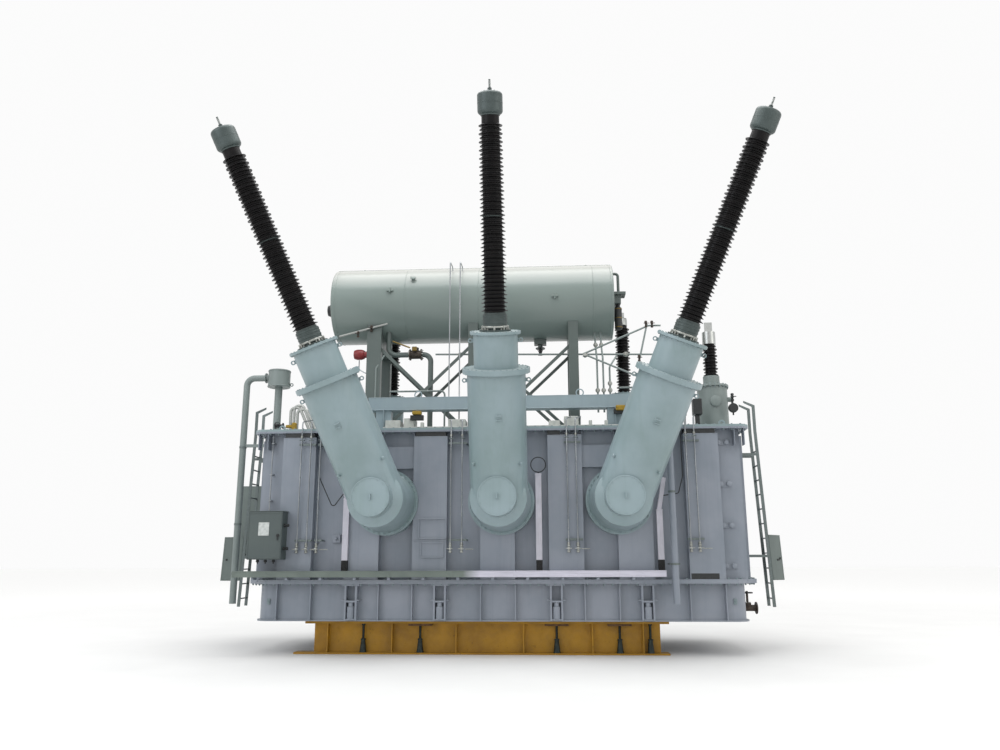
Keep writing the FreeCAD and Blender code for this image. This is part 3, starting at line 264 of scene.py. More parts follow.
# Painted highlight: the pale colour spread over faces looking up past a share of 0.25 is partly
# dust and partly a sheen standing in for light on the conservator's top.
VESSEL = enamel("conservator_alkyd_enamel", "#74807C", "#717D79", "#737F7B", "#BDB9B3", 0.24,
    0.0004, 0.25, 0.03)
BEAM = enamel("beam_alkyd_enamel", "#8C9CA2", "#829299", "#76868C", "#A0AAAE", 0.4)
CABINET = enamel("cabinet_powder_coat", "#4D5755", "#465050", "#3F4847", "#68716F", 0.45)
GREY_BOX = enamel("end_cabinet_powder_coat", "#68736F", "#5E6865", "#55605D", "#848D89", 0.45)
PIPE_PAINT = enamel("pipe_alkyd_enamel", "#7A8482", "#6F7977", "#646E6C", "#959D9A", 0.4)
FRAME_PAINT = enamel("portal_alkyd_enamel", "#545E5B", "#4C5653", "#454E4C", "#727B78", 0.42)
OCHRE = worn_ochre()
GLAZE = glaze()
ZINC = galvanised()
TRAY = tray_sheet_and_reflection()
DUCT = bare_metal("rolled_aluminium_duct", "#C4C2CC", "#A3A3AC", 0.4, (50.0, 50.0, 1.5), 0.25, 2.0)
STEEL = bare_metal("drawn_stainless_tube", "#A9ADB0", "#787C80", 0.28, (8.0, 8.0, 0.6), 0.8, 8.0)
BOLT = bare_metal("zinc_plated_steel", "#B4B6B2", "#85877F", 0.34, (1.0, 1.0, 1.0), 0.9)
PAINTED_BOLT = enamel("painted_fasteners", "#7B8A8D", "#6F7D80", "#636F72", "#919C9E", 0.4)
BRASS = bare_metal("machined_brass", "#7E6B3C", "#594929", 0.38, (1.0, 1.0, 8.0), 0.8)
CAP = plain_stuff("cast_aluminium_cap", "#475150", "#3F4948", 0.36, 0.5, 0.12, Metallic=0.3)
PALM = bare_metal("tinned_copper_palm", "#C4C6C4", "#8F928E", 0.3, (1.0, 1.0, 6.0))
RED = plain_stuff("red_enamel", "#7F1F22", "#681A1C", 0.3, 0.45, 0.05)
YELLOW = plain_stuff("yellow_polyester_strap", "#9F811E", "#826713", 0.6, 0.75, 0.02)
RUBBER = plain_stuff("black_rubber", "#1B1C1D", "#121314", 0.5, 0.7, 0.03)
DARK = plain_stuff("black_japanned_iron", "#26292A", "#1A1C1D", 0.4, 0.6, 0.02)
JACK = plain_stuff("oily_jack_steel", "#26302C", "#181E1B", 0.35, 0.6, 0.06, 0.001, Metallic=0.4)
PLATE = plain_stuff("blank_anodised_plate", "#C6CAC8", "#AEB3B1", 0.3, 0.42, 0.04, Metallic=0.5)
HOSE = plain_stuff("braided_metal_hose", "#B4B6B2", "#8B8E8A", 0.36, 0.5, 0.006, Metallic=0.3)
DIAL = plain_stuff("gauge_dial", "#E6E6E0", "#DADAD4", 0.5, 0.6, 0.05)
TRUNK = plain_stuff("white_painted_trunking", "#BDBFBA", "#ABAEA9", 0.4, 0.55, 0.08)
WOOD = plain_stuff("sawn_packing_timber", "#6B4E2E", "#4F3A24", 0.7, 0.85, 0.05)
VALVE = plain_stuff("bronze_valve_iron", "#4B3F36", "#2E2B28", 0.4, 0.6, 0.03, Metallic=0.4)


def floor_finish():
    """Pale floor screed, swept lighter away from the work, in a faint cloud 2 m across."""
    material, tree, where = new_material("pale_floor")
    cloud = add(tree, "TexNoise", {"Vector": where, "Scale": 0.5, "Detail": 5.0})
    near = add(tree, "ValToRGB", {"Fac": cloud}, stops=[(0.35, "#DADAD9"), (0.62, "#DEDEDD")])
    apart = add(tree, "VectorMath", {0: where}, operation="LENGTH")
    away = add(tree, "MapRange", {"Value": apart.node.outputs["Value"], "From Min": 7.0,
        "From Max": 26.0, "To Min": 0.0, "To Max": 1.0})
    colour = add(tree, "MixRGB", {"Fac": away, "Color1": near, "Color2": linear("#FDFDFC")})
    return shade(material, tree, colour, (cloud, 0.85, 0.75), cloud, 0.0006)


FLOOR = floor_finish()


# ---------------------------------------------------------------- shapes
def ring_faces(rows, sides, closed=False):
    """Quads between neighbouring rings, and a face over the first and the last ring."""
    j = np.arange(sides)
    step = np.stack([j, (j + 1) % sides, (j + 1) % sides + sides, j + sides], axis=1)
    count = rows if closed else rows - 1
    quads = (step[None] + sides * np.arange(count)[:, None, None]).reshape(-1, 4)
    quads = (quads % (rows * sides)).tolist()
    if closed:
        return quads
    return quads + [j[::-1].tolist(), (j + sides * (rows - 1)).tolist()]


def revolve(profile, sides=48, closed=False):
    """Surface of revolution: (r cos t, r sin t, z) for each profile pair (r, z)."""
    r, z = np.array(profile, float).T[:, :, None]
    t = np.linspace(0, 2 * np.pi, sides, endpoint=False)
    grid = np.stack([r * np.cos(t), r * np.sin(t), z + 0 * t], axis=2)
    return grid.reshape(-1, 3), ring_faces(len(r), sides, closed)


def slab(outline, low, high, chamfer):
    """Prism: the outline at four heights, drawn in by the chamfer at the first and last."""
    flat = np.array(outline, float)
    middle = (flat.max(0) + flat.min(0)) / 2
    half = (flat.max(0) - flat.min(0)) / 2
    inner = middle + (flat - middle) * (1 - chamfer / half)
    heights = np.repeat([low, low + chamfer, high - chamfer, high], len(flat))
    return (np.column_stack([np.concatenate([inner, flat, flat, inner]), heights]),
        ring_faces(4, len(flat)))


def brick(low, high, chamfer=0.004):
    """Block between two corners with all its edges taken off."""
    (a, b, c), (d, e, f) = np.minimum(low, high), np.maximum(low, high)
    k = min(chamfer, 0.3 * min(d - a, e - b, f - c))
    outline = [(a + k, b), (d - k, b), (d, b + k), (d, e - k), (d - k, e), (a + k, e), (a, e - k),
        (a, b + k)]
    return slab(outline, c, f, k)


def basis(axis, toward=(0, 0, 1)):
    """Unit directions as columns: across (toward x axis), axis x across, and the axis."""
    w = np.array(axis, float) / np.linalg.norm(axis)
    u = np.cross(toward, w)
    if np.linalg.norm(u) < 1e-6:
        u = np.array([1.0, 0.0, 0.0])
    u = u / np.linalg.norm(u)
    return np.stack([u, np.cross(w, u), w], axis=1)


UPRIGHT = np.eye(3)


def moved(part, origin, turn=UPRIGHT):
    """Each point p becomes origin + turn p."""
    points, faces = part
    return points @ turn.T + np.asarray(origin), faces


def hoop(profile, sides, origin, turn=UPRIGHT):
    """A closed section revolved into a ring and carried to its place."""
    return moved(revolve(profile, sides, closed=True), origin, turn)


def band(inner, outer, low, high, ease):
    """A hoop's section: a low wall between two heights, sloped in over the ease."""
    return [(inner, low), (outer, low + ease), (outer, high - ease), (inner, high)]


def copies(part, origins, turns):
    """The part stamped at many places: origin_i + turn_i p, as one array of points."""
    points, faces = part
    turns = np.broadcast_to(turns, (len(origins), 3, 3))
    grid = np.einsum("nij,pj->npi", turns, points) + np.asarray(origins, float)[:, None]
    joined = [[corner + index * len(points) for corner in face] for index in range(len(origins))
        for face in faces]
    return grid.reshape(-1, 3), joined


def on_circle(part, origin, turn, radius, count, start=0.0):
    """Copies of a part round a circle in the turned plane, its own x pointing outward."""
    t = start + np.linspace(0, 2 * np.pi, count, endpoint=False)
    outward = np.stack([np.cos(t), np.sin(t), 0 * t], axis=1)
    round_way = np.stack([-np.sin(t), np.cos(t), 0 * t], axis=1)
    along = np.broadcast_to([0.0, 0.0, 1.0], outward.shape)
    local = np.stack([outward, round_way, along], axis=2)
    turn = np.asarray(turn)
    return copies(part, origin + radius * outward @ turn.T, turn @ local)


def route(corners, bend, steps=6):
    """Straight runs joined by arcs: each corner gives points of a circle of the bend radius."""
    spots = [np.array(corner, float) for corner in corners]
    line = [spots[0][None]]
    for before, corner, after in zip(spots, spots[1:], spots[2:]):
        a = (before - corner) / np.linalg.norm(before - corner)
        b = (after - corner) / np.linalg.norm(after - corner)
        half = math.acos(np.clip(a @ b, -1, 1)) / 2
        middle = corner + (a + b) / np.linalg.norm(a + b) * bend / math.sin(half)
        first = corner + a * bend / math.tan(half) - middle
        last = corner + b * bend / math.tan(half) - middle
        t = np.linspace(0, 1, steps)[:, None]
        angle = math.pi - 2 * half
        line.append(middle + (np.sin((1 - t) * angle) * first + np.sin(t * angle) * last) /
            math.sin(angle))
    return np.concatenate(line + [spots[-1][None]])


def sweep(line, radius, sides=10, closed=False):
    """Tube: a circle across the line at each station, its direction carried without twist."""
    line = np.array(line, float)
    if closed:
        tangent = np.roll(line, -1, 0) - np.roll(line, 1, 0)
    else:
        tangent = np.gradient(line, axis=0)
    tangent /= np.linalg.norm(tangent, axis=1)[:, None]
    side = basis(tangent[0])[:, 0]
    sideways = []
    for ahead in tangent:
        side = side - (side @ ahead) * ahead
        side = side / np.linalg.norm(side)
        sideways.append(side)
    sideways = np.array(sideways)
    other = np.cross(tangent, sideways)
    t = np.linspace(0, 2 * np.pi, sides, endpoint=False)[None, :, None]
    wide = np.broadcast_to(radius, len(line))[:, None, None]
    grid = line[:, None] + wide * (np.cos(t) * sideways[:, None] + np.sin(t) * other[:, None])
    return grid.reshape(-1, 3), ring_faces(len(line), sides, closed)


def piece(name, parts, material, body="transformer"):
    """One object at the origin from shapes; doubles are merged and faces turned outward."""
    points = []
    faces = []
    for more_points, more_faces in parts:
        start = sum(len(block) for block in points)
        points.append(more_points)
        faces += [[corner + start for corner in face] for face in more_faces]
    mesh = bpy.data.meshes.new(name)
    mesh.from_pydata(np.concatenate(points).tolist(), [], faces)
    work = bmesh.new()
    work.from_mesh(mesh)
    bmesh.ops.remove_doubles(work, verts=work.verts, dist=1e-6)
    bmesh.ops.recalc_face_normals(work, faces=work.faces)
    work.to_mesh(mesh)
    work.free()
    mesh.polygons.foreach_set("use_smooth", [True] * len(mesh.polygons))
    mesh.set_sharp_from_angle(angle=math.radians(35))
    mesh.materials.append(material)
    item = bpy.data.objects.new(name, mesh)
    bpy.context.collection.objects.link(item)
    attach(item, body)


# ---------------------------------------------------------------- small fittings
FACING_FRONT = basis((0.0, -1.0, 0.0))
FACING_REAR = basis((0.0, 1.0, 0.0))
FACING_LEFT = basis((-1.0, 0.0, 0.0), (0.0, 1.0, 0.0))
ALONG = basis((1.0, 0.0, 0.0), (0.0, 1.0, 0.0))
ON_EDGE = np.array([(0.0, 0.0, -1.0), (0.0, 1.0, 0.0), (1.0, 0.0, 0.0)])
UPSIDE_DOWN = np.diag([1.0, -1.0, -1.0])


def bolt(radius, height):
    """Hexagon head on a washer: six-sided rings of washer, head and its bevelled top."""
    return revolve([(radius * 1.3, 0), (radius * 1.3, height * 0.18), (radius, height * 0.18),
        (radius, height * 0.85), (radius * 0.8, height)], 6)


def stud_and_nut(radius, height):
    """Nut with the stud's end standing out of it by two fifths of its height."""
    return revolve([(radius * 1.25, 0), (radius * 1.25, height * 0.15), (radius, height * 0.15),
        (radius, height * 0.7), (radius * 0.55, height * 0.72), (radius * 0.5, height)], 6)


def eye_plate(reach, thick):
    """Lifting eye: a flat ring beyond a short web, in the local XZ plane."""
    ring = revolve([(reach * 0.32, -thick / 2), (reach * 0.62, -thick / 2),
        (reach * 0.62, thick / 2), (reach * 0.32, thick / 2)], 20, closed=True)
    ring = moved(ring, (reach * 0.5, 0, 0), FACING_FRONT)
    web = brick((-reach * 0.4, -thick / 2, -reach * 0.5), (reach * 0.1, thick / 2, reach * 0.5))
    return [ring, web]


def union(radius, length):
    """Screwed pipe union: a hexagon nut between two collars."""
    r, l = radius, length
    return revolve([(r * 1.5, 0), (r * 1.5, l * 0.2), (r * 2.1, l * 0.25), (r * 2.1, l * 0.75),
        (r * 1.5, l * 0.8), (r * 1.5, l)], 6)


def small_valve(size):
    """Needle valve: a barrel, a hexagon body and a crossbar handle toward local -Y."""
    s = size
    barrel = revolve([(s * 0.28, -s), (s * 0.4, -s * 0.9), (s * 0.4, -s * 0.5),
        (s * 0.26, -s * 0.4), (s * 0.26, s * 0.4), (s * 0.4, s * 0.5), (s * 0.4, s * 0.9),
        (s * 0.28, s)], 12)
    bonnet = moved(revolve([(s * 0.34, 0), (s * 0.34, s * 0.55), (s * 0.16, s * 0.6),
        (s * 0.16, s * 1.1)], 6), (0, 0, 0), FACING_FRONT)
    handle = brick((-s * 0.75, -s * 1.25, -s * 0.1), (s * 0.75, -s * 1.05, s * 0.1), s * 0.05)
    return [barrel, bonnet, handle]


def gate_valve(size):
    """Flanged valve along local Z with a bonnet and a round handwheel toward local -Y."""
    s = size
    body = revolve([(s, -s * 1.4), (s, -s * 1.15), (s * 0.5, -s * 1.1), (s * 0.62, -s * 0.4),
        (s * 0.7, 0), (s * 0.62, s * 0.4), (s * 0.5, s * 1.1), (s, s * 1.15), (s, s * 1.4)], 20)
    bonnet = moved(revolve([(s * 0.5, 0), (s * 0.5, s * 1.1), (s * 0.62, s * 1.12),
        (s * 0.62, s * 1.3), (s * 0.2, s * 1.4), (s * 0.13, s * 2.5)], 16), (0, 0, 0),
        FACING_FRONT)
    t = np.linspace(0, 2 * np.pi, 24, endpoint=False)
    rim = np.stack([s * 0.9 * np.cos(t), -s * 2.3 + 0 * t, s * 0.9 * np.sin(t)], axis=1)
    spokes = [brick((-s * 0.9, -s * 2.35, -s * 0.06), (s * 0.9, -s * 2.25, s * 0.06)),
        brick((-s * 0.06, -s * 2.35, -s * 0.9), (s * 0.06, -s * 2.25, s * 0.9))]
    return [body, bonnet, sweep(rim, s * 0.1, 8, closed=True)] + spokes


def placed(parts, origin, turn=UPRIGHT):
    """All the shapes of a fitting carried to one place."""
    return [moved(part, origin, turn) for part in parts]


def line_of(first, last, pitch):
    """Evenly spaced points between two ends, about one pitch apart."""
    first, last = np.array(first, float), np.array(last, float)
    count = max(int(round(np.linalg.norm(last - first) / pitch)), 1) + 1
    return first + np.linspace(0, 1, count)[:, None] * (last - first)


# ---------------------------------------------------------------- places taken from the frame
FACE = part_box("front_wall_stiffeners")[0][1]
BACK_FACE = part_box("rear_wall_stiffeners")[1][1]
WALL = FACE + 0.18
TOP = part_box("tank_cover")[1][2]
JOINT_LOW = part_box("lower_tank")[1][2] - 0.038
JOINT_HIGH = JOINT_LOW + 0.076
SIGNS = {"left": -1, "centre": 0, "right": 1}
MOUNTS = {mount["name"]: mount for mount in frame["record"]["mounts"]}
# The turret's two flanges: under side and top along the leaning axis, the circle of the bolts
# and how many there are.
STATIONS = ((2.27, 2.36, 0.555, 32), (2.953, 2.998, 0.419, 24))
TURRET_LEVEL = 2.765
STIFFENER_PITCH = 1.27
TRAY_SIDE = 1.55
VALVE_LINE, VALVE_LEVEL = -0.7, 0.79


def phase(hand):
    """A bushing's leaning frame: its elbow, and directions across, back and along the axis."""
    pin = MOUNTS[hand + "_terminal"]
    axis = np.array(pin["axis"], float)
    tip = np.array(pin["pos_m"], float)
    back = np.cross(axis, np.cross((0.0, 1.0, 0.0), axis))
    back /= np.linalg.norm(back)
    turn = np.stack([np.cross(back, axis), back, axis], axis=1)
    elbow = tip - axis * ((tip[2] - TURRET_LEVEL) / axis[2])
    return elbow, turn


# ---------------------------------------------------------------- paint for the frame's parts
PAINTS = [
    (OCHRE, "stand_front_girder stand_rear_girder stand_cross_girders"),
    (JACK, "levelling_jacks"),
    (TANK, "lower_tank tray_ribs jacking_brackets upper_tank front_wall_stiffeners "
     "rear_wall_stiffeners end_wall_stiffeners drop_pipe"),
    (TURRET, "tank_cover turret_hatches low_bushing_turrets"),
    (VESSEL, "conservator_shell conservator_left_end conservator_right_end"),
    (FRAME_PAINT, "conservator_left_frame conservator_middle_frame conservator_right_frame "
     "conservator_bracing relay_pipe"),
    (BEAM, "cross_beam"),
    (VALVE, "gas_relay drain_valve"),
    (PIPE_PAINT, "relief_device relief_discharge_pipe neutral_turret"),
    (GLAZE, "neutral_insulator low_bushings"),
    (PALM, "neutral_terminal"),
    (CABINET, "control_cabinet control_cabinet_door"),
    (GREY_BOX, "end_cabinet left_ladder_guard right_ladder_guard"),
    (ZINC, "left_ladder right_ladder"),
    (TRAY, "cable_tray"),
    (DUCT, "cable_ducts"),
    (RUBBER, "signal_leads"),
    (DARK, "drain_handwheel"),
]
PAINT_OF = {name: material for material, names in PAINTS for name in names.split()}
for hand in SIGNS:
    PAINT_OF.update({hand + "_turret": TURRET, hand + "_turret_head": TURRET,
        hand + "_bushing_foot": CAP, hand + "_bushing_insulator": GLAZE,
        hand + "_bushing_terminal": CAP})
for name, material in PAINT_OF.items():
    part = frame["nodes"][name]
    part.data.materials.clear()
    part.data.materials.append(material)
    part.data.polygons.foreach_set("use_smooth", [True] * len(part.data.polygons))
    weld = part.modifiers.new("joined", "WELD")
    weld.merge_threshold = 1e-5
    edges = part.modifiers.new("hard_edges", "EDGE_SPLIT")
    edges.split_angle = math.radians(32)


# ---------------------------------------------------------------- turrets and bushings
def turret_fittings(hand):
    """Bolts, eyes, knobs and the blanking cover's screws of one phase."""
    elbow, turn = phase(hand)
    axis = turn[:, 2]
    fasteners = []
    eyes = []
    for low, high, circle, count in STATIONS:
        
        fasteners.append(on_circle(bolt(0.013, 0.012), elbow + axis * high, turn, circle, count))
        fasteners.append(on_circle(stud_and_nut(0.012, 0.018), elbow + axis * low,
            turn @ UPSIDE_DOWN, circle, count))
    for station, radius in ((2.14, 0.505), (2.84, 0.38)):
        for side in (-1, 1):
            seat = elbow + axis * station + turn[:, 0] * side * (radius + 0.03)
            outward = np.stack([turn[:, 0] * side, turn[:, 1], axis * side], axis=1)
            eyes += placed(eye_plate(0.066, 0.03), seat, outward)
    for side in (-1, 1):
        t = side * 0.86
        out = turn[:, 0] * math.sin(t) - turn[:, 1] * math.cos(t)
        knob = revolve([(0.022, 0), (0.022, 0.03), (0.03, 0.032), (0.03, 0.05), (0.02, 0.06)], 12)
        eyes.append(moved(knob, elbow + axis * 0.72 + out * 0.512, basis(out)))
    plate_out = turn[:, 1] * -math.cos(0.12) + turn[:, 0] * math.sin(0.12) * (SIGNS[hand] or 1)
    seat = elbow + axis * 1.55 + plate_out * 0.513
    local = np.stack([np.cross(axis, plate_out), axis, plate_out], axis=1)
    eyes.append(moved(brick((-0.055, -0.05, -0.004), (0.055, 0.05, 0.012)), seat, local))
    for step in (-1, 1):
        eyes.append(moved(brick((-0.05, step * 0.034 - 0.008, 0),
            (0.05, step * 0.034 + 0.008, 0.05)), seat, local))
    hatch = np.array([elbow[0], WALL - 0.85 - 0.66 - 0.032, TURRET_LEVEL])
    screws = on_circle(bolt(0.01, 0.008), hatch, FACING_FRONT, 0.303, 16)
    rim = hoop([(0.326, -0.03), (0.336, -0.02), (0.336, 0.004), (0.326, 0.008), (0.318, 0.004),
        (0.318, -0.02)], 64, hatch, FACING_FRONT)
    piece(hand + "_turret_bolts", fasteners + [screws], TURRET)
    piece(hand + "_turret_eyes", eyes + [rim], TURRET)


def weld_on_wall(hand):
    """Fillet weld round the pad's edge, and the ring of studs between pad and stub."""
    seat = np.array([phase(hand)[0][0], FACE - 0.06, TURRET_LEVEL])
    bead = revolve([(0.556, 0.0), (0.575, 0.0), (0.573, 0.008), (0.562, 0.018), (0.55, 0.012)], 72,
        closed=True)
    studs = on_circle(stud_and_nut(0.015, 0.034), seat, FACING_FRONT, 0.594, 36)
    piece(hand + "_pad_studs", [moved(bead, seat, FACING_FRONT), studs], TURRET)


def bushing_fittings(hand):
    """The bright clamp ring and bolts at a bushing's foot, its middle joint and its cap."""
    elbow, turn = phase(hand)
    axis = turn[:, 2]
    foot = on_circle(stud_and_nut(0.013, 0.03), elbow + axis * 3.028, turn, 0.235, 12)
    ring = hoop([(0.187, 3.06), (0.226, 3.06), (0.23, 3.066), (0.23, 3.09), (0.226, 3.096),
        (0.212, 3.096), (0.212, 3.085), (0.187, 3.085)], 48, elbow, turn)
    hooks = on_circle(brick((-0.02, -0.016, -0.03), (0.03, 0.016, 0.05)), elbow + axis * 3.045,
        turn, 0.21, 8)
    neck = moved(revolve([(0.192, 3.034), (0.192, 3.056)], 48), elbow, turn)
    piece(hand + "_foot_ring", [foot, ring, hooks], BOLT)
    bands = [hoop(band(0.2115, 0.217, s, s + 0.024, 0.004), 48, elbow, turn) for s in (3.14, 3.2,
        3.25)]
    piece(hand + "_collar_bands", [neck] + bands, CAP)
    joint = hoop(band(0.161, 0.174, 4.955, 4.98, 0.005), 40, elbow, turn)
    piece(hand + "_column_joint", [joint], CAP)
    cap_bolts = on_circle(bolt(0.012, 0.016), elbow + axis * 7.03, turn, 0.12, 8)
    skirt = hoop([(0.15, 6.64), (0.162, 6.64), (0.166, 6.65), (0.166, 6.664), (0.15, 6.664)], 48,
        elbow, turn)
    seam = hoop(band(0.2145, 0.2175, 6.84, 6.855, 0.003), 48, elbow, turn)
    piece(hand + "_cap_fittings", [cap_bolts, skirt, seam], CAP)
    grooves = [hoop(band(0.0175, 0.0195, s, s + 0.01, 0.003), 20, elbow,
        turn) for s in np.arange(7.11, 7.22, 0.02)]
    piece(hand + "_terminal_threads", grooves, PALM)


for hand in SIGNS:
    turret_fittings(hand)
    weld_on_wall(hand)
    bushing_fittings(hand)


# ---------------------------------------------------------------- tank
def flange_loop(half_x, half_y, corner):
    """The eight corners of a rectangle with its corners cut off at 45 degrees."""
    a, b, c = half_x, half_y, corner
    return [(a - c, -b), (a, c - b), (a, b - c), (a - c, b), (c - a, b), (-a, b - c), (-a, c - b),
        (c - a, -b)]


def round_loop(corners, pitch):
    """Points evenly spaced along each side of a closed outline."""
    sides = zip(corners, corners[1:] + corners[:1])
    return np.concatenate([line_of(a, b, pitch)[:-1] for a, b in sides])


def tank_bolts():
    """Bolts of the joint between tray and tank, and of the cover on its rim."""
    joint = round_loop(flange_loop(4.71, 1.70, 0.39), 0.15)
    rim = round_loop(flange_loop(4.67, 1.70, 0.1), 0.16)
    at = [np.column_stack([joint, np.full(len(joint), height)]) for height in (JOINT_HIGH,
        JOINT_LOW)]
    rim_at = [np.column_stack([rim, np.full(len(rim), height)]) for height in (TOP, TOP - 0.078)]
    piece("joint_bolts", [copies(bolt(0.02, 0.022), at[0], UPRIGHT),
        copies(stud_and_nut(0.019, 0.034), at[1], UPSIDE_DOWN)], PAINTED_BOLT)
    piece("cover_bolts", [copies(bolt(0.018, 0.02), rim_at[0], UPRIGHT),
        copies(stud_and_nut(0.018, 0.034), rim_at[1], UPSIDE_DOWN)], PAINTED_BOLT)


def stiffener_welds():
    """Fillet beads up both edges of every box stiffener, front, rear and ends."""
    beads = []
    low, high = JOINT_HIGH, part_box("rear_wall_stiffeners")[1][2]
    for step in range(-3, 4):
        for side in (-1, 1):
            x = step * STIFFENER_PITCH + side * 0.32
            for y in (WALL, -WALL):
                if y < 0 and abs(abs(x) - 2.185) < 0.7:
                    continue
                beads.append(sweep([(x, y, low), (x, y, high)], 0.011, 6))
    for hand in (-1, 1):
        for row in (-1.1, 1.1):
            for side in (-0.26, 0.26):
                beads.append(sweep([(hand * 4.56, row + side, low),
                    (hand * 4.56, row + side, high)], 0.01, 6))
    for row in range(-3, 4):
        for y in (FACE + 0.004, BACK_FACE - 0.004):
            beads.append(sweep([(row * STIFFENER_PITCH - 0.32, y, high),
                (row * STIFFENER_PITCH + 0.32, y, high)], 0.01, 6))
    piece("stiffener_welds", beads, TANK)


def wall_fittings():
    """Frames, lugs, pads and the label plate's holder on the front wall."""
    y = FACE
    parts = []
    for left, right, low, high in ((-1.47, -0.96, 2.09, 2.45), (-1.43, -1.01, 1.75, 2.02)):
        for z in (low, high):
            parts.append(brick((left, y - 0.022, z - 0.014), (right, y + 0.002, z + 0.014)))
        for x in (left, right):
            parts.append(brick((x - 0.014, y - 0.022, low), (x + 0.014, y + 0.002, high)))
    parts.append(brick((-1.56, y - 0.016, 2.04), (-0.96, y + 0.002, 2.06)))
    for z in (3.85, 3.07, 2.31, 1.58):
        for side in (-1, 1):
            knob = revolve([(0.036, -0.002), (0.036, 0.03), (0.046, 0.034), (0.046, 0.06),
                (0.03, 0.068)], 14)
            parts.append(moved(knob, (4.24 + side * 0.075, WALL, z), FACING_FRONT))
        parts.append(brick((4.10, WALL - 0.014, z - 0.06), (4.38, WALL + 0.002, z + 0.03)))
    parts += [brick((-3.13, WALL - 0.05, 2.02), (-2.98, WALL + 0.002, 2.17)),
        moved(revolve([(0.03, 0), (0.03, 0.03), (0.02, 0.045)], 16), (-3.06, WALL - 0.05, 2.1),
        FACING_FRONT)]
    for x in (-2.2, -1.6, 1.6, 2.2):
        parts.append(brick((x - 0.012, WALL - 0.09, 3.82), (x + 0.012, WALL + 0.002, 4.09)))
    for side in (-1, 1):
        for x in (side * 4.62, side * 4.44):
            parts.append(brick((x - 0.008, FACE, 3.78), (x + 0.008, WALL, 4.09)))
    piece("front_wall_fittings", parts, TANK)
    # Painted shade: black strips that stand in for the shadow in slots on the front wall.
    dark = [brick((3.51, FACE - 0.003, 1.35), (4.01, FACE + 0.002, 1.45), 0.001)]
    for left, right in ((-4.1, -3.52), (0.95, 1.19), (3.5, 4.08), (-1.56, -0.98)):
        dark.append(brick((left, FACE - 0.004, 4.005), (right, WALL - 0.01, 4.088), 0.002))
    piece("shaded_slots", dark, DARK)


def earth_pads():
    """Earthing pads with their bolts low on the tray, one at each corner."""
    parts = []
    for x in (-4.3, 4.3):
        for y, turn in ((-TRAY_SIDE, FACING_FRONT), (TRAY_SIDE, FACING_REAR)):
            parts.append(moved(brick((-0.03, -0.05, -0.002), (0.03, 0.05, 0.02)), (x, y, 0.95),
                turn))
            parts.append(moved(bolt(0.014, 0.03), (x, y + math.copysign(0.02, y), 0.95), turn))
    piece("earth_pads", parts, PAINTED_BOLT)


tank_bolts()
stiffener_welds()
wall_fittings()
earth_pads()


# ---------------------------------------------------------------- instrument pipes
PIPE_LINE = FACE - 0.075


def clamp_bar(left, right, z, reach):
    """A bar across a group of pipes on two feet that stand on the wall behind."""
    bar = brick((left - 0.05, PIPE_LINE + 0.012, z - 0.02), (right + 0.09, PIPE_LINE + 0.022,
        z + 0.02))
    feet = [brick((x - 0.015, PIPE_LINE + 0.02, z - 0.015),
        (x + 0.015, reach, z + 0.015)) for x in (left - 0.035, right + 0.075)]
    return [bar] + feet


def instrument_pipes(name, spots, over, reach):
    """Thin tubes down the front wall with a valve at each foot and clamps near both ends."""
    tubes = []
    valves = []
    brackets = clamp_bar(spots[0], spots[-1], 2.06, reach)
    brackets += clamp_bar(spots[0], spots[-1], 3.86, reach)
    unions = []
    for x in spots:
        path = [(x, PIPE_LINE, 1.96), (x, PIPE_LINE, 4.3)] + [(x + dx, y, z) for dx, y, z in over]
        tubes.append(sweep(route(path, 0.05), 0.0125, 10))
        valves += placed(small_valve(0.075), (x, PIPE_LINE, 1.9))
        unions.append(moved(union(0.013, 0.05), (x, PIPE_LINE, 1.965)))
        unions.append(moved(union(0.013, 0.05), (x, PIPE_LINE, 3.98)))
        brackets.append(brick((x - 0.05, PIPE_LINE - 0.016, 3.94),
            (x + 0.05, PIPE_LINE + 0.02, 3.955)))
    valves += [brick((spots[-1] + 0.06, PIPE_LINE - 0.008, 1.885),
        (spots[-1] + 0.22, PIPE_LINE + 0.008, 1.9))]
    piece(name + "_tubes", tubes, STEEL)
    piece(name + "_valves", valves, BOLT)
    piece(name + "_unions", unions, BOLT)
    piece(name + "_brackets", brackets, ZINC)


OVER_COVER = [(0.12, -1.35, 4.42), (0.12, -1.2, 4.42), (0.12, -1.2, TOP)]
instrument_pipes("left_gauge", (-3.75, -3.57), OVER_COVER, FACE)
instrument_pipes("left_sample", (-3.38,), OVER_COVER, WALL)
instrument_pipes("right_gauge", (3.52, 3.68), OVER_COVER, FACE)
instrument_pipes("middle_gauge", (1.31, 1.48), OVER_COVER, FACE)
TO_VESSEL = [(-0.15, -1.05, 4.42), (-0.15, -1.05, 7.78), (-0.15, -0.62, 7.82),
    (-0.15, -0.62, 7.62)]
instrument_pipes("vessel_gauge", (-0.87, -0.66), TO_VESSEL, WALL)


# ---------------------------------------------------------------- conservator and its pipes
VESSEL_LOW, VESSEL_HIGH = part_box("conservator_shell")
VESSEL_Y = (VESSEL_LOW[1] + VESSEL_HIGH[1]) / 2
VESSEL_Z = (VESSEL_LOW[2] + VESSEL_HIGH[2]) / 2
VESSEL_R = (VESSEL_HIGH[2] - VESSEL_LOW[2]) / 2


def vessel_point(x, angle, out=0.0):
    """A point on the vessel's shell: x along it, angle forward of straight up."""
    t = math.radians(angle)
    return np.array([x, VESSEL_Y - (VESSEL_R + out) * math.sin(t),
        VESSEL_Z + (VESSEL_R + out) * math.cos(t)])


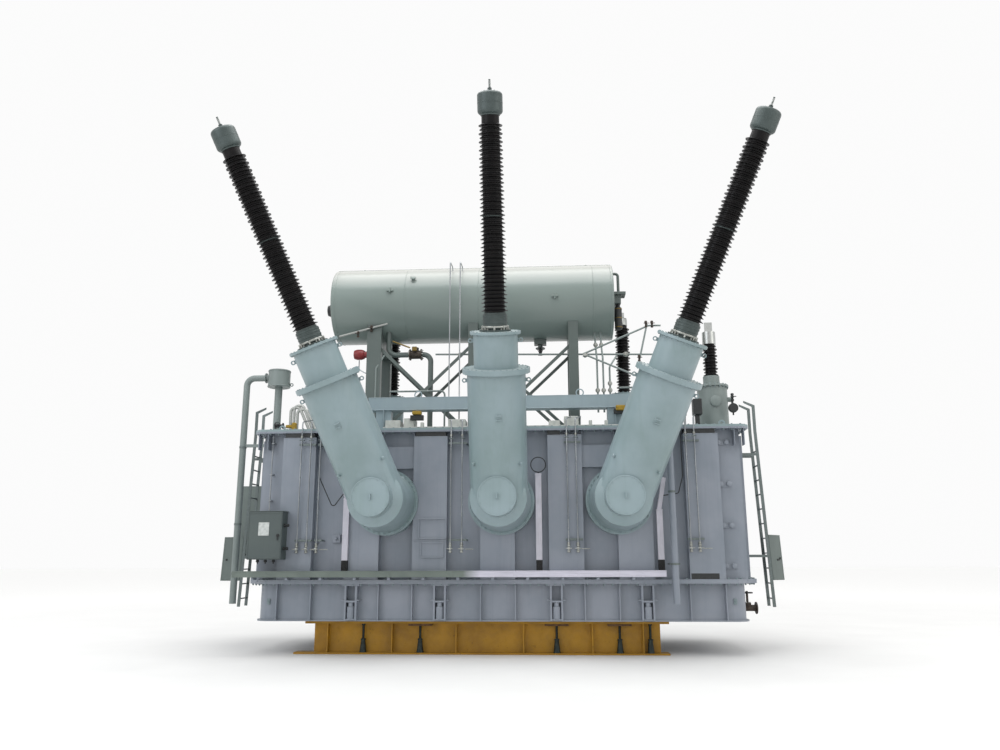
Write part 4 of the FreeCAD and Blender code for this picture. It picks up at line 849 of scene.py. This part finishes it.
def vessel_fittings():
    """Girth seams, end flanges, lifting eyes, the level gauge, sump and inspection cover."""
    left, right = VESSEL_LOW[0], VESSEL_HIGH[0]
    r = VESSEL_R
    seams = []
    for x in (left + 0.06, left + 1.55, left + 3.1, right - 0.4, right - 0.03):
        ring = revolve([(r - 0.004, -0.011), (r + 0.004, -0.006), (r + 0.006, 0.0),
            (r + 0.004, 0.006), (r - 0.004, 0.011)], 96, closed=True)
        seams.append(moved(ring, (x, VESSEL_Y, VESSEL_Z), ALONG))
    seams.append(sweep([vessel_point(x, 24, 0.001) for x in (left, right)], 0.006, 6))
    piece("vessel_seams", seams, VESSEL)
    eyes = []
    for x, angle in ((-2.31, 82), (1.15, 96)):
        seat = vessel_point(x, angle, -0.01)
        out = seat - (x, VESSEL_Y, VESSEL_Z)
        local = basis(out, (1.0, 0.0, 0.0))
        eyes.append(moved(brick((-0.02, -0.07, 0), (0.02, 0.07, 0.05)), seat, local))
        eyes.append(moved(brick((-0.06, -0.015, 0.02), (0.06, 0.015, 0.075)), seat, local))
    for x in (left + 0.5, right - 0.5):
        seat = vessel_point(x, 0, 0.01)
        eyes += placed(eye_plate(0.05, 0.02), seat, ON_EDGE)
    eyes.append(moved(revolve([(0.04, -0.01), (0.04, 0.05), (0.06, 0.055), (0.06, 0.075),
        (0.03, 0.085)], 16), vessel_point(-1.83, 62), basis(vessel_point(-1.83, 62) - (-1.83,
        VESSEL_Y, VESSEL_Z))))
    piece("vessel_eyes", eyes, VESSEL)
    gauge = (left - 0.06, VESSEL_Y - 0.45, 6.92)
    cover = [revolve([(0.3, -0.01), (0.3, 0.03), (0.285, 0.036), (0.05, 0.04)], 48),
        revolve([(0.33, -0.012), (0.33, 0.012), (0.3, 0.016)], 48)]
    piece("vessel_end_cover", placed(cover, (right + 0.06, VESSEL_Y, 7.0),
        ALONG) + [on_circle(bolt(0.013, 0.018), (right + 0.094, VESSEL_Y, 7.0), ALONG, 0.265, 20)],
        VESSEL)
    head = [revolve([(0.13, -0.02), (0.13, 0.05), (0.115, 0.065), (0.115, 0.09), (0.1, 0.095)],
        40)]
    piece("level_gauge_case", placed(head, gauge, FACING_LEFT), DARK)
    face = revolve([(0.098, 0.09), (0.098, 0.0965)], 40)
    ticks = on_circle(brick((-0.012, -0.002, 0), (0.012, 0.002, 0.001)),
        np.array(gauge) - (0.0965, 0, 0), FACING_LEFT, 0.078, 24)
    piece("level_gauge_face", placed([face], gauge, FACING_LEFT), DIAL)
    hand_bar = moved(brick((-0.004, -0.02, 0.0965), (0.004, 0.07, 0.099)), gauge, FACING_LEFT)
    piece("level_gauge_marks", [ticks, hand_bar], RUBBER)
    sump = [brick((0.7, VESSEL_Y - 0.1, VESSEL_Z - r - 0.1),
        (0.96, VESSEL_Y + 0.1, VESSEL_Z - r + 0.03)), moved(revolve([(0.1, 0), (0.1, 0.02),
        (0.05, 0.025), (0.05, 0.09)], 24), (0.83, VESSEL_Y, VESSEL_Z - r - 0.19))]
    piece("vessel_sump", sump, FRAME_PAINT)
    piece("sump_valve", placed(gate_valve(0.06), (0.83, VESSEL_Y, VESSEL_Z - r - 0.24)), DARK)
    vent = [sweep(route([(right - 0.35, VESSEL_Y - 0.3, VESSEL_Z + 0.55),
        (right + 0.16, VESSEL_Y - 0.3, VESSEL_Z + 0.55), (right + 0.16, VESSEL_Y - 0.3,
        VESSEL_Z + 0.1)], 0.06), 0.03, 12), brick((right + 0.03, VESSEL_Y - 0.46, 7.16),
        (right + 0.3, VESSEL_Y - 0.16, 7.22)), brick((right + 0.05, VESSEL_Y - 0.4, 6.98),
        (right + 0.2, VESSEL_Y - 0.22, 7.17))]
    piece("breather_pipe", vent, FRAME_PAINT)
    jar = revolve([(0.05, 6.42), (0.075, 6.44), (0.08, 6.5), (0.08, 6.86), (0.075, 6.9),
        (0.05, 6.92), (0.035, 7.0)], 32)
    seat = (right + 0.14, VESSEL_Y - 0.3, 0)
    piece("breather_case", [moved(jar, seat)], DARK)
    rings = [hoop(band(0.078, 0.084, z, z + 0.024, 0.004), 32, seat) for z in (6.46, 6.66, 6.86)]
    piece("breather_rings", rings, BRASS)


def saddle_bolts():
    """Bolts at the feet of the portals and base plates under their posts."""
    parts = []
    screws = []
    for name in ("left", "middle", "right"):
        low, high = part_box("conservator_%s_frame" % name)
        for y in (low[1] + 0.075, high[1] - 0.075):
            parts.append(brick((low[0] - 0.07, y - 0.14, TOP),
                (high[0] + 0.07, y + 0.14, TOP + 0.03)))
            for x in (low[0] - 0.035, high[0] + 0.035):
                for dy in (-0.1, 0.1):
                    screws.append((x, y + dy, TOP + 0.03))
            for x in (low[0] + 0.02, high[0] - 0.02):
                parts.append(brick((x - 0.008, y - 0.12, TOP + 0.03),
                    (x + 0.008, y + 0.12, TOP + 0.16)))
    piece("portal_feet", parts, FRAME_PAINT)
    piece("portal_bolts", [copies(stud_and_nut(0.018, 0.045), screws, UPRIGHT)], BOLT)


def overhead_pipes():
    """The long level pipe behind the turrets, the thin rises to the vessel, and their stops."""
    runs = [[(-1.38, -0.5, 5.93), (3.2, -0.62, 5.82)], [(1.98, -0.9, TOP + 0.4), (1.98, -0.9, 5.7),
        (1.98, -0.6, 6.0), (1.98, -0.4, 6.42)], [(2.1, -0.9, TOP + 0.4), (2.1, -0.9, 5.7),
        (2.1, -0.6, 6.0), (2.1, -0.4, 6.42)], [(2.23, -0.9, TOP + 0.4), (2.23, -0.9, 5.5),
        (2.4, -0.6, 5.8)], [(1.7, -0.9, 5.78), (3.02, -1.1, 6.3), (3.25, -1.2, 6.27)],
        [(1.72, -0.9, 5.78), (3.3, -1.15, 5.0)], [(2.98, -1.2, 6.3), (2.8, -1.2, 5.55)],
        [(-2.6, -0.7, 4.6), (-2.6, -0.7, 5.6), (-2.45, -0.62, 5.9)],
        [(-2.3, -0.7, 5.1), (-1.15, -0.7, 5.1), (-1.15, -0.7, TOP)],
        [(2.4, -1.0, 5.05), (3.2, -1.0, 5.05), (3.2, -1.0, TOP)]]
    piece("overhead_pipes", [sweep(route(run, 0.09), 0.019, 10) for run in runs], PIPE_PAINT)
    stops = []
    for x, z in ((1.98, 4.98), (2.1, 4.98), (2.23, 4.98), (2.23, 5.12), (1.98, 6.0), (2.1, 6.0)):
        stops.append(moved(union(0.022, 0.08), (x, -0.9 if z < 5.5 else -0.62, z)))
    for spot in ((-0.9, -0.512, 5.905), (1.7, -0.9, 5.76), (2.55, -0.62, 5.83)):
        stops.append(moved(union(0.026, 0.09), spot, ALONG))
    piece("overhead_unions", stops, BOLT)
    valves = []
    for spot in ((2.96, -1.2, 6.3), (3.08, -1.2, 6.3), (2.8, -1.2, 5.6), (-3.0, -0.72, 6.34),
            (-2.72, -0.72, 6.46)):
        valves += placed(small_valve(0.07), spot)
    piece("overhead_valves", valves, VALVE)
    branch = [sweep([(-3.4, -0.72, 6.3), (-2.38, -0.72, 6.56)], 0.02, 12)]
    piece("relay_branch", branch, HOSE)
    red = [revolve([(0.04, -0.12), (0.09, -0.105), (0.11, -0.045), (0.11, 0.045), (0.09, 0.105),
        (0.04, 0.12)], 24), revolve([(0.07, 0.1), (0.07, 0.17), (0.045, 0.185)], 20)]
    piece("red_switch", placed(red, (-2.98, -0.62, 5.92), ALONG), RED)
    stem = [sweep(route([(-2.98, -0.62, 5.8), (-2.98, -0.62, 5.6), (-2.8, -0.62, 5.5),
        (-2.7, -0.62, 5.7)], 0.06), 0.012, 8)]
    piece("switch_lead", stem, STEEL)
    relay_low, relay_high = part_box("gas_relay")
    screws = []
    for x, turn in ((relay_low[0], FACING_LEFT), (relay_high[0], ALONG)):
        screws.append(on_circle(stud_and_nut(0.011, 0.03), (x, -0.5, 5.93), turn, 0.09, 8))
    piece("relay_bolts", screws, BOLT)
    arm = [sweep([(relay_low[0] + 0.02, -0.6, 6.06), (relay_low[0] - 0.35, -0.62, 6.2)], 0.016, 8),
        brick((relay_low[0] + 0.07, -0.66, 5.98), (relay_high[0] - 0.09, -0.61, 6.07))]
    piece("relay_arm", arm, BRASS)


vessel_fittings()
saddle_bolts()
overhead_pipes()


# ---------------------------------------------------------------- cover top
def on_cover():
    """Manhole covers, junction boxes, gauges, trunking and hoses that stand on the cover."""
    lids = []
    for x, y, r in ((-1.25, 1.05, 0.28), (3.4, 0.3, 0.3), (-3.4, 0.4, 0.3), (0.8, -0.55, 0.22)):
        lids += placed([revolve([(r, -0.002), (r, 0.05), (r + 0.05, 0.05), (r + 0.05, 0.08),
            (r + 0.045, 0.084), (0.03, 0.09)], 48)], (x, y, TOP))
        lids.append(on_circle(bolt(0.014, 0.02), (x, y, TOP + 0.084), UPRIGHT, r + 0.022, 20))
    for x, y in ((-4.3, -1.35), (4.3, -1.35), (-4.3, 1.35), (4.3, 1.35)):
        lids += placed(eye_plate(0.1, 0.04), (x, y, TOP + 0.03), ON_EDGE)
    piece("cover_lids", lids, TURRET)
    boxes = [brick((x, -1.45, TOP + 0.01), (x + w, -1.05, TOP + h), 0.008) for x, w,
        h in ((-2.22, 0.3, 0.2), (-1.85, 0.2, 0.24), (-0.98, 0.34, 0.21), (0.98, 0.22, 0.16),
        (1.28, 0.28, 0.24))]
    boxes += [brick((x, -1.6, TOP), (x + 0.06, -1.5, TOP + 0.13)) for x in (-1.5, 1.75, 2.05)]
    boxes.append(brick((-2.25, -1.5, TOP + 0.02), (-0.4, -1.46, TOP + 0.06)))
    boxes.append(brick((0.55, -1.5, TOP + 0.02), (2.6, -1.46, TOP + 0.06)))
    piece("cover_trunking", boxes, TRUNK)
    dark = [brick((3.83, -1.1, TOP + 0.3), (4.0, -0.9, TOP + 0.62), 0.01),
        brick((3.87, -1.05, TOP), (3.95, -0.95, TOP + 0.3), 0.006)]
    gauge = revolve([(0.09, -0.03), (0.095, -0.02), (0.095, 0.03), (0.085, 0.04), (0.08, 0.034)],
        32)
    dark.append(moved(gauge, (4.64, -0.92, 4.62), FACING_FRONT))
    dark.append(sweep([(4.64, -0.9, 4.48), (4.64, -0.9, 4.9)], 0.016, 10))
    dark += placed(small_valve(0.08), (4.64, -0.9, 4.84))
    for x, z in ((-1.72, 4.36), (2.24, 4.44)):
        dark.append(brick((x, -1.5, z), (x + 0.26, -1.42, z + 0.1), 0.006))
    dark += placed(gate_valve(0.06), (-4.4, -1.25, TOP + 0.15), ALONG)
    piece("cover_gear", dark, DARK)
    piece("gauge_face", [moved(revolve([(0.078, 0.03), (0.078, 0.0355)], 32), (4.64, -0.92, 4.62),
        FACING_FRONT)], DARK)
    straps = [brick((-4.25, -1.32, TOP + 0.1), (-4.05, -1.26, TOP + 0.16), 0.01),
        brick((-4.12, -1.34, TOP + 0.04), (-4.04, -1.24, TOP + 0.2), 0.01),
        brick((-1.68, -1.53, 4.47), (-1.5, -1.42, 4.54), 0.01), brick((2.28, -1.53, 4.5),
        (2.46, -1.42, 4.6), 0.01)]
    piece("yellow_straps", straps, YELLOW)
    hoses = []
    for shift, rise in ((0.0, 0.56), (0.07, 0.6), (0.14, 0.52)):
        hoses.append(sweep(route([(-4.26 + shift, -1.0, TOP), (-4.26 + shift, -1.0, TOP + rise),
            (-4.08 + shift, -1.0, TOP + rise), (-3.82 + shift, -1.0, TOP)], 0.085, 10), 0.03, 12))
    piece("cover_hoses", hoses, HOSE)
    t = np.linspace(0, 2 * np.pi, 24, endpoint=False)
    rings = [sweep(np.stack([x + 0.07 * np.cos(t), y + 0 * t, z + 0.07 * np.sin(t)], axis=1),
        0.012, 8, closed=True) for x, y, z in ((-1.6, -1.3, 4.9), (1.6, -1.3, 4.9))]
    piece("beam_eyes", rings, BEAM)
    low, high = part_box("cross_beam")
    plates = [brick((x, low[1] - 0.012, low[2]),
        (x + 0.016, high[1] + 0.012, 4.576)) for x in np.linspace(low[0] + 0.3, high[0] - 0.3, 3)]
    beads = [sweep([(low[0], y, z), (high[0], y, z)], 0.007, 6) for y in (low[1] + 0.002,
        high[1] - 0.002) for z in (4.582, 4.826)]
    piece("beam_plates", plates + beads, BEAM)


def cover_flange(inner, outer, sides):
    """A welded ring on the cover, 30 mm high and sloped in toward the neck."""
    return revolve([(inner, TOP), (outer, TOP), (outer, TOP + 0.03), (inner, TOP + 0.034)], sides,
        closed=True)


def relief_fittings():
    """The relief canister's domed lid, flanges and band, and the pipes' clamps."""
    low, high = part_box("relief_device")
    x, y = (low[0] + high[0]) / 2, (low[1] + high[1]) / 2
    level = high[2]
    lid = revolve([(0.222, level - 0.03), (0.228, level - 0.026), (0.228, level - 0.012),
        (0.215, level - 0.004), (0.15, level + 0.012), (0.04, level + 0.018)], 48)
    base = revolve(band(0.222, 0.23, level - 0.35, level - 0.325, 0.005), 48, closed=True)
    parts = placed([lid, base, cover_flange(0.076, 0.15, 32)], (x, y, 0))
    parts.append(hoop(band(0.067, 0.105, 0.0, 0.022, 0.002), 28, (x - 0.26, y, level - 0.15),
        FACING_LEFT))
    parts += placed(eye_plate(0.06, 0.015), (x + 0.235, y, level - 0.3))
    piece("relief_fittings", parts, PIPE_PAINT)
    piece("relief_bolts", [on_circle(bolt(0.014, 0.022), (x, y, TOP + 0.032), UPRIGHT, 0.12, 10)],
        BOLT)
    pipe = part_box("relief_discharge_pipe")[0][0] + 0.065
    clamps = []
    for z in (3.93, 2.4, 1.45):
        clamps.append(hoop(band(0.066, 0.073, -0.02, 0.02, 0.002), 28, (pipe, -1.0, z)))
    for z in (1.62, 2.9, 3.8):
        clamps.append(hoop(band(0.061, 0.068, -0.02, 0.02, 0.002), 28, (3.19, -2.0, z)))
    clamps.append(brick((3.1, -2.0, 1.605), (3.28, FACE, 1.635)))
    piece("pipe_clamps", clamps, ZINC)


LOW_SPOTS = (-2.6, 0.05, 2.7)
LOW_LINE = 1.1


def upright_bushing_fittings():
    """Flange bolts, bright necks and terminal clamps of the four upright bushings."""
    low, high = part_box("neutral_turret")
    x, y = (low[0] + high[0]) / 2, (low[1] + high[1]) / 2
    bolts = [on_circle(bolt(0.013, 0.02), (x, y, TOP + 0.98), UPRIGHT, 0.305, 20),
        on_circle(stud_and_nut(0.013, 0.03), (x, y, TOP + 0.94), UPSIDE_DOWN, 0.315, 20)]
    ring = moved(cover_flange(0.3, 0.36, 48), (x, y, 0))
    hand_hole = moved(revolve([(0.11, -0.02), (0.11, 0.02), (0.1, 0.026), (0.02, 0.028)], 32),
        (x, y - 0.302, TOP + 0.62), FACING_FRONT)
    nozzle = [moved(revolve([(0.05, 0), (0.05, 0.1), (0.085, 0.102), (0.085, 0.125)], 24),
        (x + 0.28, y, TOP + 0.7), ALONG)]
    low_bolts = []
    for spot in LOW_SPOTS:
        low_bolts.append(on_circle(bolt(0.014, 0.022), (spot, LOW_LINE, TOP + 1.15), UPRIGHT, 0.28,
            18))
        low_bolts.append(moved(cover_flange(0.268, 0.33, 48), (spot, LOW_LINE, 0)))
    piece("neutral_turret_fittings", [ring, hand_hole] + nozzle, PIPE_PAINT)
    piece("upright_turret_bolts", bolts + low_bolts, PAINTED_BOLT)
    palms = []
    for spot in LOW_SPOTS:
        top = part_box("low_bushings")[1][2]
        palms.append(moved(revolve([(0.118, top - 0.17), (0.124, top - 0.165), (0.124, top - 0.03),
            (0.116, top - 0.01), (0.06, top + 0.004)], 36), (spot, LOW_LINE, 0)))
        palms.append(brick((spot - 0.06, LOW_LINE - 0.015, top - 0.01),
            (spot + 0.06, LOW_LINE + 0.015, top + 0.15)))
    piece("low_bushing_palms", palms, PALM)


on_cover()
relief_fittings()
upright_bushing_fittings()


# ---------------------------------------------------------------- cabinets, tray and ladders
def cabinet_fittings():
    """Handle, blank plate and rim of the door; glands and brackets of the case."""
    low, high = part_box("control_cabinet_door")
    y = low[1]
    x0, x1, z0, z1 = low[0], high[0], low[2], high[2]
    plate = [brick((x0 + 0.2, y - 0.004, z0 + 0.42), (x0 + 0.4, y + 0.002, z0 + 0.66), 0.002)]
    piece("door_blank_plate", plate, PLATE, body="cabinet_door")
    rivets = [(x0 + dx, y - 0.004, z0 + dz) for dx in (0.212, 0.388) for dz in (0.432, 0.648)]
    piece("door_plate_rivets", [copies(bolt(0.004, 0.004), rivets, FACING_FRONT)], BOLT,
        body="cabinet_door")
    rim = [brick((x0 + 0.012, y - 0.006, z), (x1 - 0.012, y + 0.002, z + 0.012),
        0.003) for z in (z0 + 0.012, z1 - 0.024)]
    rim += [brick((x, y - 0.006, z0 + 0.012), (x + 0.012, y + 0.002, z1 - 0.012),
        0.003) for x in (x0 + 0.012, x1 - 0.024)]
    piece("door_rim", rim, CABINET, body="cabinet_door")
    lock = [moved(revolve([(0.03, -0.002), (0.03, 0.008), (0.022, 0.014), (0.012, 0.016)], 24),
        (x1 - 0.07, y, (z0 + z1) / 2), FACING_FRONT),
        brick((x1 - 0.08, y - 0.03, (z0 + z1) / 2 - 0.09),
        (x1 - 0.06, y - 0.014, (z0 + z1) / 2 + 0.02), 0.005)]
    piece("door_handle", lock, DARK, body="cabinet_door")
    case_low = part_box("control_cabinet")[0]
    right = -3.97
    knobs = []
    for z in (case_low[2] + 0.2, case_low[2] + 0.62):
        knobs.append(moved(revolve([(0.02, 0), (0.02, 0.05), (0.03, 0.054), (0.03, 0.085),
            (0.018, 0.09)], 14), (right, -1.9, z), ALONG))
        knobs.append(brick((right, -1.94, z - 0.03), (right + 0.02, -1.86, z + 0.03)))
    piece("case_knobs", knobs, DARK)
    glands = []
    for x in (-4.45, -4.3, -4.15):
        glands.append(moved(revolve([(0.022, -0.05), (0.03, -0.045), (0.03, -0.02), (0.024, 0.0)],
            6), (x, -1.88, case_low[2])))
        glands.append(sweep([(x, -1.88, case_low[2] - 0.03), (x, -1.88, 1.64)], 0.012, 8))
    piece("case_glands", glands, DARK)
    roof = [brick((-4.62, -2.035, 2.585), (-3.95, -1.73, 2.6), 0.005)]
    piece("case_roof", roof, CABINET)
    box_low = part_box("end_cabinet")[0]
    seams = [brick((box_low[0] - 0.003, box_low[1] + 0.02, z),
        (box_low[0] + 0.5, box_low[1] + 0.58, z + 0.006), 0.002) for z in (1.753, 3.233)]
    seams += [brick((box_low[0] - 0.006, box_low[1] + 0.04, 1.8),
        (box_low[0] + 0.002, box_low[1] + 0.56, 3.19), 0.003)]
    seams += [brick((box_low[0] - 0.02, box_low[1] + 0.5, 2.4),
        (box_low[0] - 0.004, box_low[1] + 0.53, 2.56), 0.004)]
    piece("end_cabinet_door", seams, GREY_BOX)


def tray_fittings():
    """Cover joints and brackets of the cable tray and clamps of its ducts."""
    low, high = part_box("cable_tray")
    joints = [brick((x, low[1] - 0.004, low[2] - 0.003),
        (x + 0.05, low[1] + 0.006, high[2] + 0.003), 0.002) for x in np.arange(low[0] + 0.6,
        high[0] - 0.2, 1.15)]
    ends = [brick((low[0] - 0.002, low[1] - 0.003, low[2] - 0.002),
        (low[0] + 0.03, high[1], high[2] + 0.003), 0.002)]
    lip = [brick((low[0], low[1] - 0.006, high[2] - 0.012),
        (high[0], low[1] + 0.002, high[2] + 0.004), 0.002)]
    piece("tray_joints", joints + ends + lip, TRAY)
    feet = [brick((x, low[1] + 0.03, JOINT_HIGH), (x + 0.05, high[1], low[2]),
        0.004) for x in np.arange(low[0] + 0.35, high[0], 0.635)]
    piece("tray_feet", feet, TANK)
    ducts = {-2.84: high[2] + 1.33, 0.77: high[2] + 1.765, 2.98: high[2] + 1.09}
    collars = [brick((x - 0.058, FACE - 0.074, z - 0.03), (x + 0.058, FACE + 0.001, z + 0.003),
        0.003) for x, z in ducts.items()]
    for x, z, lean, rise in ((2.98, ducts[2.98], 0.11, 0.58), (-2.84, ducts[-2.84], -0.05, 0.16)):
        foot = np.array((x, FACE - 0.035, z + 0.003))
        way = np.array((lean, 0.0, rise))
        collars.append(moved(brick((-0.04, -0.02, -0.02), (0.04, 0.02, np.linalg.norm(way))), foot,
            basis(way, (0.0, 1.0, 0.0))))
    piece("duct_ends", collars, DUCT)
    bundles = [brick((x - 0.057, FACE - 0.0735, high[2] + 0.005),
        (x + 0.057, FACE - 0.001, high[2] + 0.19), 0.003) for x in ducts]
    for x in ducts:
        for step in range(-2, 3):
            bundles.append(sweep([(x + step * 0.023, FACE - 0.074, high[2] + 0.004),
                (x + step * 0.023, FACE - 0.074, high[2] + 0.188)], 0.0105, 8))
    piece("duct_cables", bundles, RUBBER)
    conduit = [sweep([(-4.36, -1.66, 4.05), (-4.36, -1.66, 2.61)], 0.012, 8),
        sweep([(-4.07, WALL - 0.02, 3.75), (-4.07, WALL - 0.02, 3.7)], 0.02, 8)]
    conduit += [brick((-4.39, -1.675, z), (-4.33, WALL, z + 0.02)) for z in (3.9, 3.3, 2.8)]
    piece("left_conduit", conduit, STEEL)


def ladder_fittings():
    """Bolts of the standoffs and the wall plates behind them."""
    plates = []
    bolts = []
    for side in (-1, 1):
        for z in (3.735, 1.755):
            for y in (-0.6, -0.2):
                plates.append(brick((side * 4.56, y - 0.05, z - 0.06),
                    (side * 4.575, y + 0.05, z + 0.06)))
                for dz in (-0.04, 0.04):
                    bolts.append((side * 4.575, y + 0.03, z + dz))
    turns = np.stack([basis((math.copysign(1, x), 0, 0), (0, 1, 0)) for x, _, _ in bolts])
    piece("ladder_wall_plates", plates + [copies(bolt(0.01, 0.014), bolts, turns)], ZINC)


def guard_fittings(hand):
    """Folded stiffening edges and a hasp on a swinging guard, in the guard's own plane."""
    item = frame["nodes"][hand + "_ladder_guard"]
    points = np.empty(len(item.data.vertices) * 3)
    item.data.vertices.foreach_get("co", points)
    points = points.reshape(-1, 3)
    reach = points[:, 0] * SIGNS[hand]
    far = points[reach > reach.max() - 0.14]
    low, high = far[far[:, 2].argmin()], far[far[:, 2].argmax()]
    joint = next(j for j in frame["record"]["behaviour"]["joints"] if j["name"] == hand +
        "_guard_hinge")
    foot = np.array(joint["pos_m"], float)
    axis = np.array(joint["axis"], float)
    axis = axis * math.copysign(1, axis[2])
    outward = (low - foot) - ((low - foot) @ axis) * axis
    outward /= np.linalg.norm(outward)
    normal = np.cross(axis, outward)
    turn = np.stack([outward, axis, normal], axis=1)
    edges = [brick((0.02, z, -0.009), (0.385, z + 0.02, 0.009), 0.003) for z in (0.01, 0.825)]
    edges += [brick((0.37, 0.01, -0.009), (0.39, 0.845, 0.009), 0.003)]
    hasp = [brick((0.2, 0.36, -0.02), (0.29, 0.39, -0.002), 0.003), moved(revolve([(0.02, -0.024),
        (0.02, 0.02), (0.014, 0.026)], 12), (0.31, 0.4, 0))]
    piece(hand + "_guard_edges", placed(edges, foot, turn), GREY_BOX, body=hand + "_guard")
    piece(hand + "_guard_hasp", placed(hasp, foot, turn), DARK, body=hand + "_guard")


cabinet_fittings()
tray_fittings()
ladder_fittings()
for hand in ("left", "right"):
    guard_fittings(hand)


# ---------------------------------------------------------------- tray, valve and stand
def tray_wall_fittings():
    """Stiffening bars and drilled bosses on the tray's brackets, front and rear."""
    parts = []
    pads = []
    for x in (-2.72, -1.07, 1.07, 2.72):
        for side in (-1, 1):
            y = side * TRAY_SIDE
            out = side * 0.16
            parts.append(brick((x - 0.12, y, 0.94), (x + 0.12, y + out * 0.98, 0.975)))
            parts.append(brick((x - 0.17, y + out * 0.2, 0.97), (x - 0.08, y + out * 1.04, 0.99)))
            parts.append(brick((x + 0.08, y + out * 0.2, 0.97), (x + 0.17, y + out * 1.04, 0.99)))
            pads.append(brick((x - 0.1, y + out * 0.3, 0.625), (x + 0.1, y + out * 0.96, 0.65)))
            pads.append(moved(revolve([(0.07, 0.65), (0.075, 0.66), (0.075, 0.86), (0.05, 0.87),
                (0.05, 0.938)], 20), (x, y + out * 0.6, 0)))
    piece("bracket_shelves", parts, TANK)
    piece("bracket_blocks", pads, TANK)


def valve_fittings():
    """Bolts and a blanking plate's ring on the drain valve."""
    low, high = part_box("drain_valve")
    seat = (high[0], VALVE_LINE, VALVE_LEVEL)
    screws = [on_circle(stud_and_nut(0.011, 0.028), (low[0] + 0.022, VALVE_LINE, VALVE_LEVEL),
        ALONG, 0.09, 8), on_circle(bolt(0.009, 0.014), (4.71, VALVE_LINE, 0.886), UPRIGHT, 0.05,
        6)]
    piece("valve_bolts", screws, BOLT)
    seal = hoop(band(0.056, 0.074, -0.003, 0.002, 0.0), 32, seat, ALONG)
    piece("valve_seal", [seal], BRASS)
    lip = hoop(band(0.108, 0.1115, 0.002, 0.02, 0.002), 32, seat, FACING_LEFT)
    piece("valve_flange_lip", [lip], VALVE)


def stand_fittings():
    """Packing boards under the girders' top flanges, and handles and threads of the jacks."""
    rings = [revolve([(0.034, 0.245), (0.047, 0.25), (0.047, 0.275), (0.023, 0.282)], 20),
        revolve([(0.064, 0.03), (0.0665, 0.032), (0.0665, 0.05), (0.06, 0.06)], 24)]
    threads = [revolve([(0.0215, z), (0.0245, z + 0.005), (0.0215, z + 0.01)], 16,
        closed=True) for z in np.arange(0.29, 0.5, 0.016)]
    boards = []
    collars = []
    rams = []
    for x in (-2.54, -1.47, 1.065, 2.22, 2.775):
        for side in (-1, 1):
            y = side * 1.33
            if abs(x) < 2.5:
                boards.append(brick((x - 0.22, y - 0.05, 0.505), (x + 0.22, y + 0.055, 0.544)))
            collars += placed(rings, (x, y, 0))
            collars.append(sweep([(x, y, 0.262), (x + 0.02, y + side * 0.06, 0.268)], 0.011, 8))
            rams += placed(threads, (x, y, 0))
    piece("packing_boards", boards, WOOD)
    piece("jack_collars", collars, JACK)
    piece("jack_threads", rams, JACK)


def wheel_fittings():
    """Knurled grips round the handwheel's rim; they turn with it."""
    middle = np.mean(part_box("drain_handwheel"), axis=0)
    grips = on_circle(revolve([(0.0125, -0.012), (0.0145, -0.008), (0.0145, 0.008),
        (0.0125, 0.012)], 10), middle, UPRIGHT, 0.098, 12)
    piece("wheel_grips", [grips], DARK, body="handwheel")


tray_wall_fittings()
valve_fittings()
stand_fittings()
wheel_fittings()


# ---------------------------------------------------------------- floor and surround
def pale_floor(reach):
    """Level sheet of squares at z = 0, wide enough to fill every view."""
    ticks = np.linspace(-reach, reach, 9)
    x, y = np.meshgrid(ticks, ticks)
    points = np.column_stack([x.ravel(), y.ravel(), np.full(x.size, -0.002)])
    a = (np.arange(8)[:, None] * 9 + np.arange(8)).ravel()
    faces = np.stack([a, a + 1, a + 10, a + 9], axis=1)
    mesh = bpy.data.meshes.new("floor")
    mesh.from_pydata(points.tolist(), [], faces.tolist())
    mesh.materials.append(FLOOR)
    item = bpy.data.objects.new("floor", mesh)
    bpy.context.collection.objects.link(item)


pale_floor(120)
surround = bpy.data.worlds.new("even_surround")
surround.use_nodes = True
surround.node_tree.nodes["Background"].inputs["Color"].default_value = linear("#FFFFFF")
surround.node_tree.nodes["Background"].inputs["Strength"].default_value = 0.97
bpy.context.scene.world = surround
bpy.context.scene.view_settings.view_transform = "Standard"
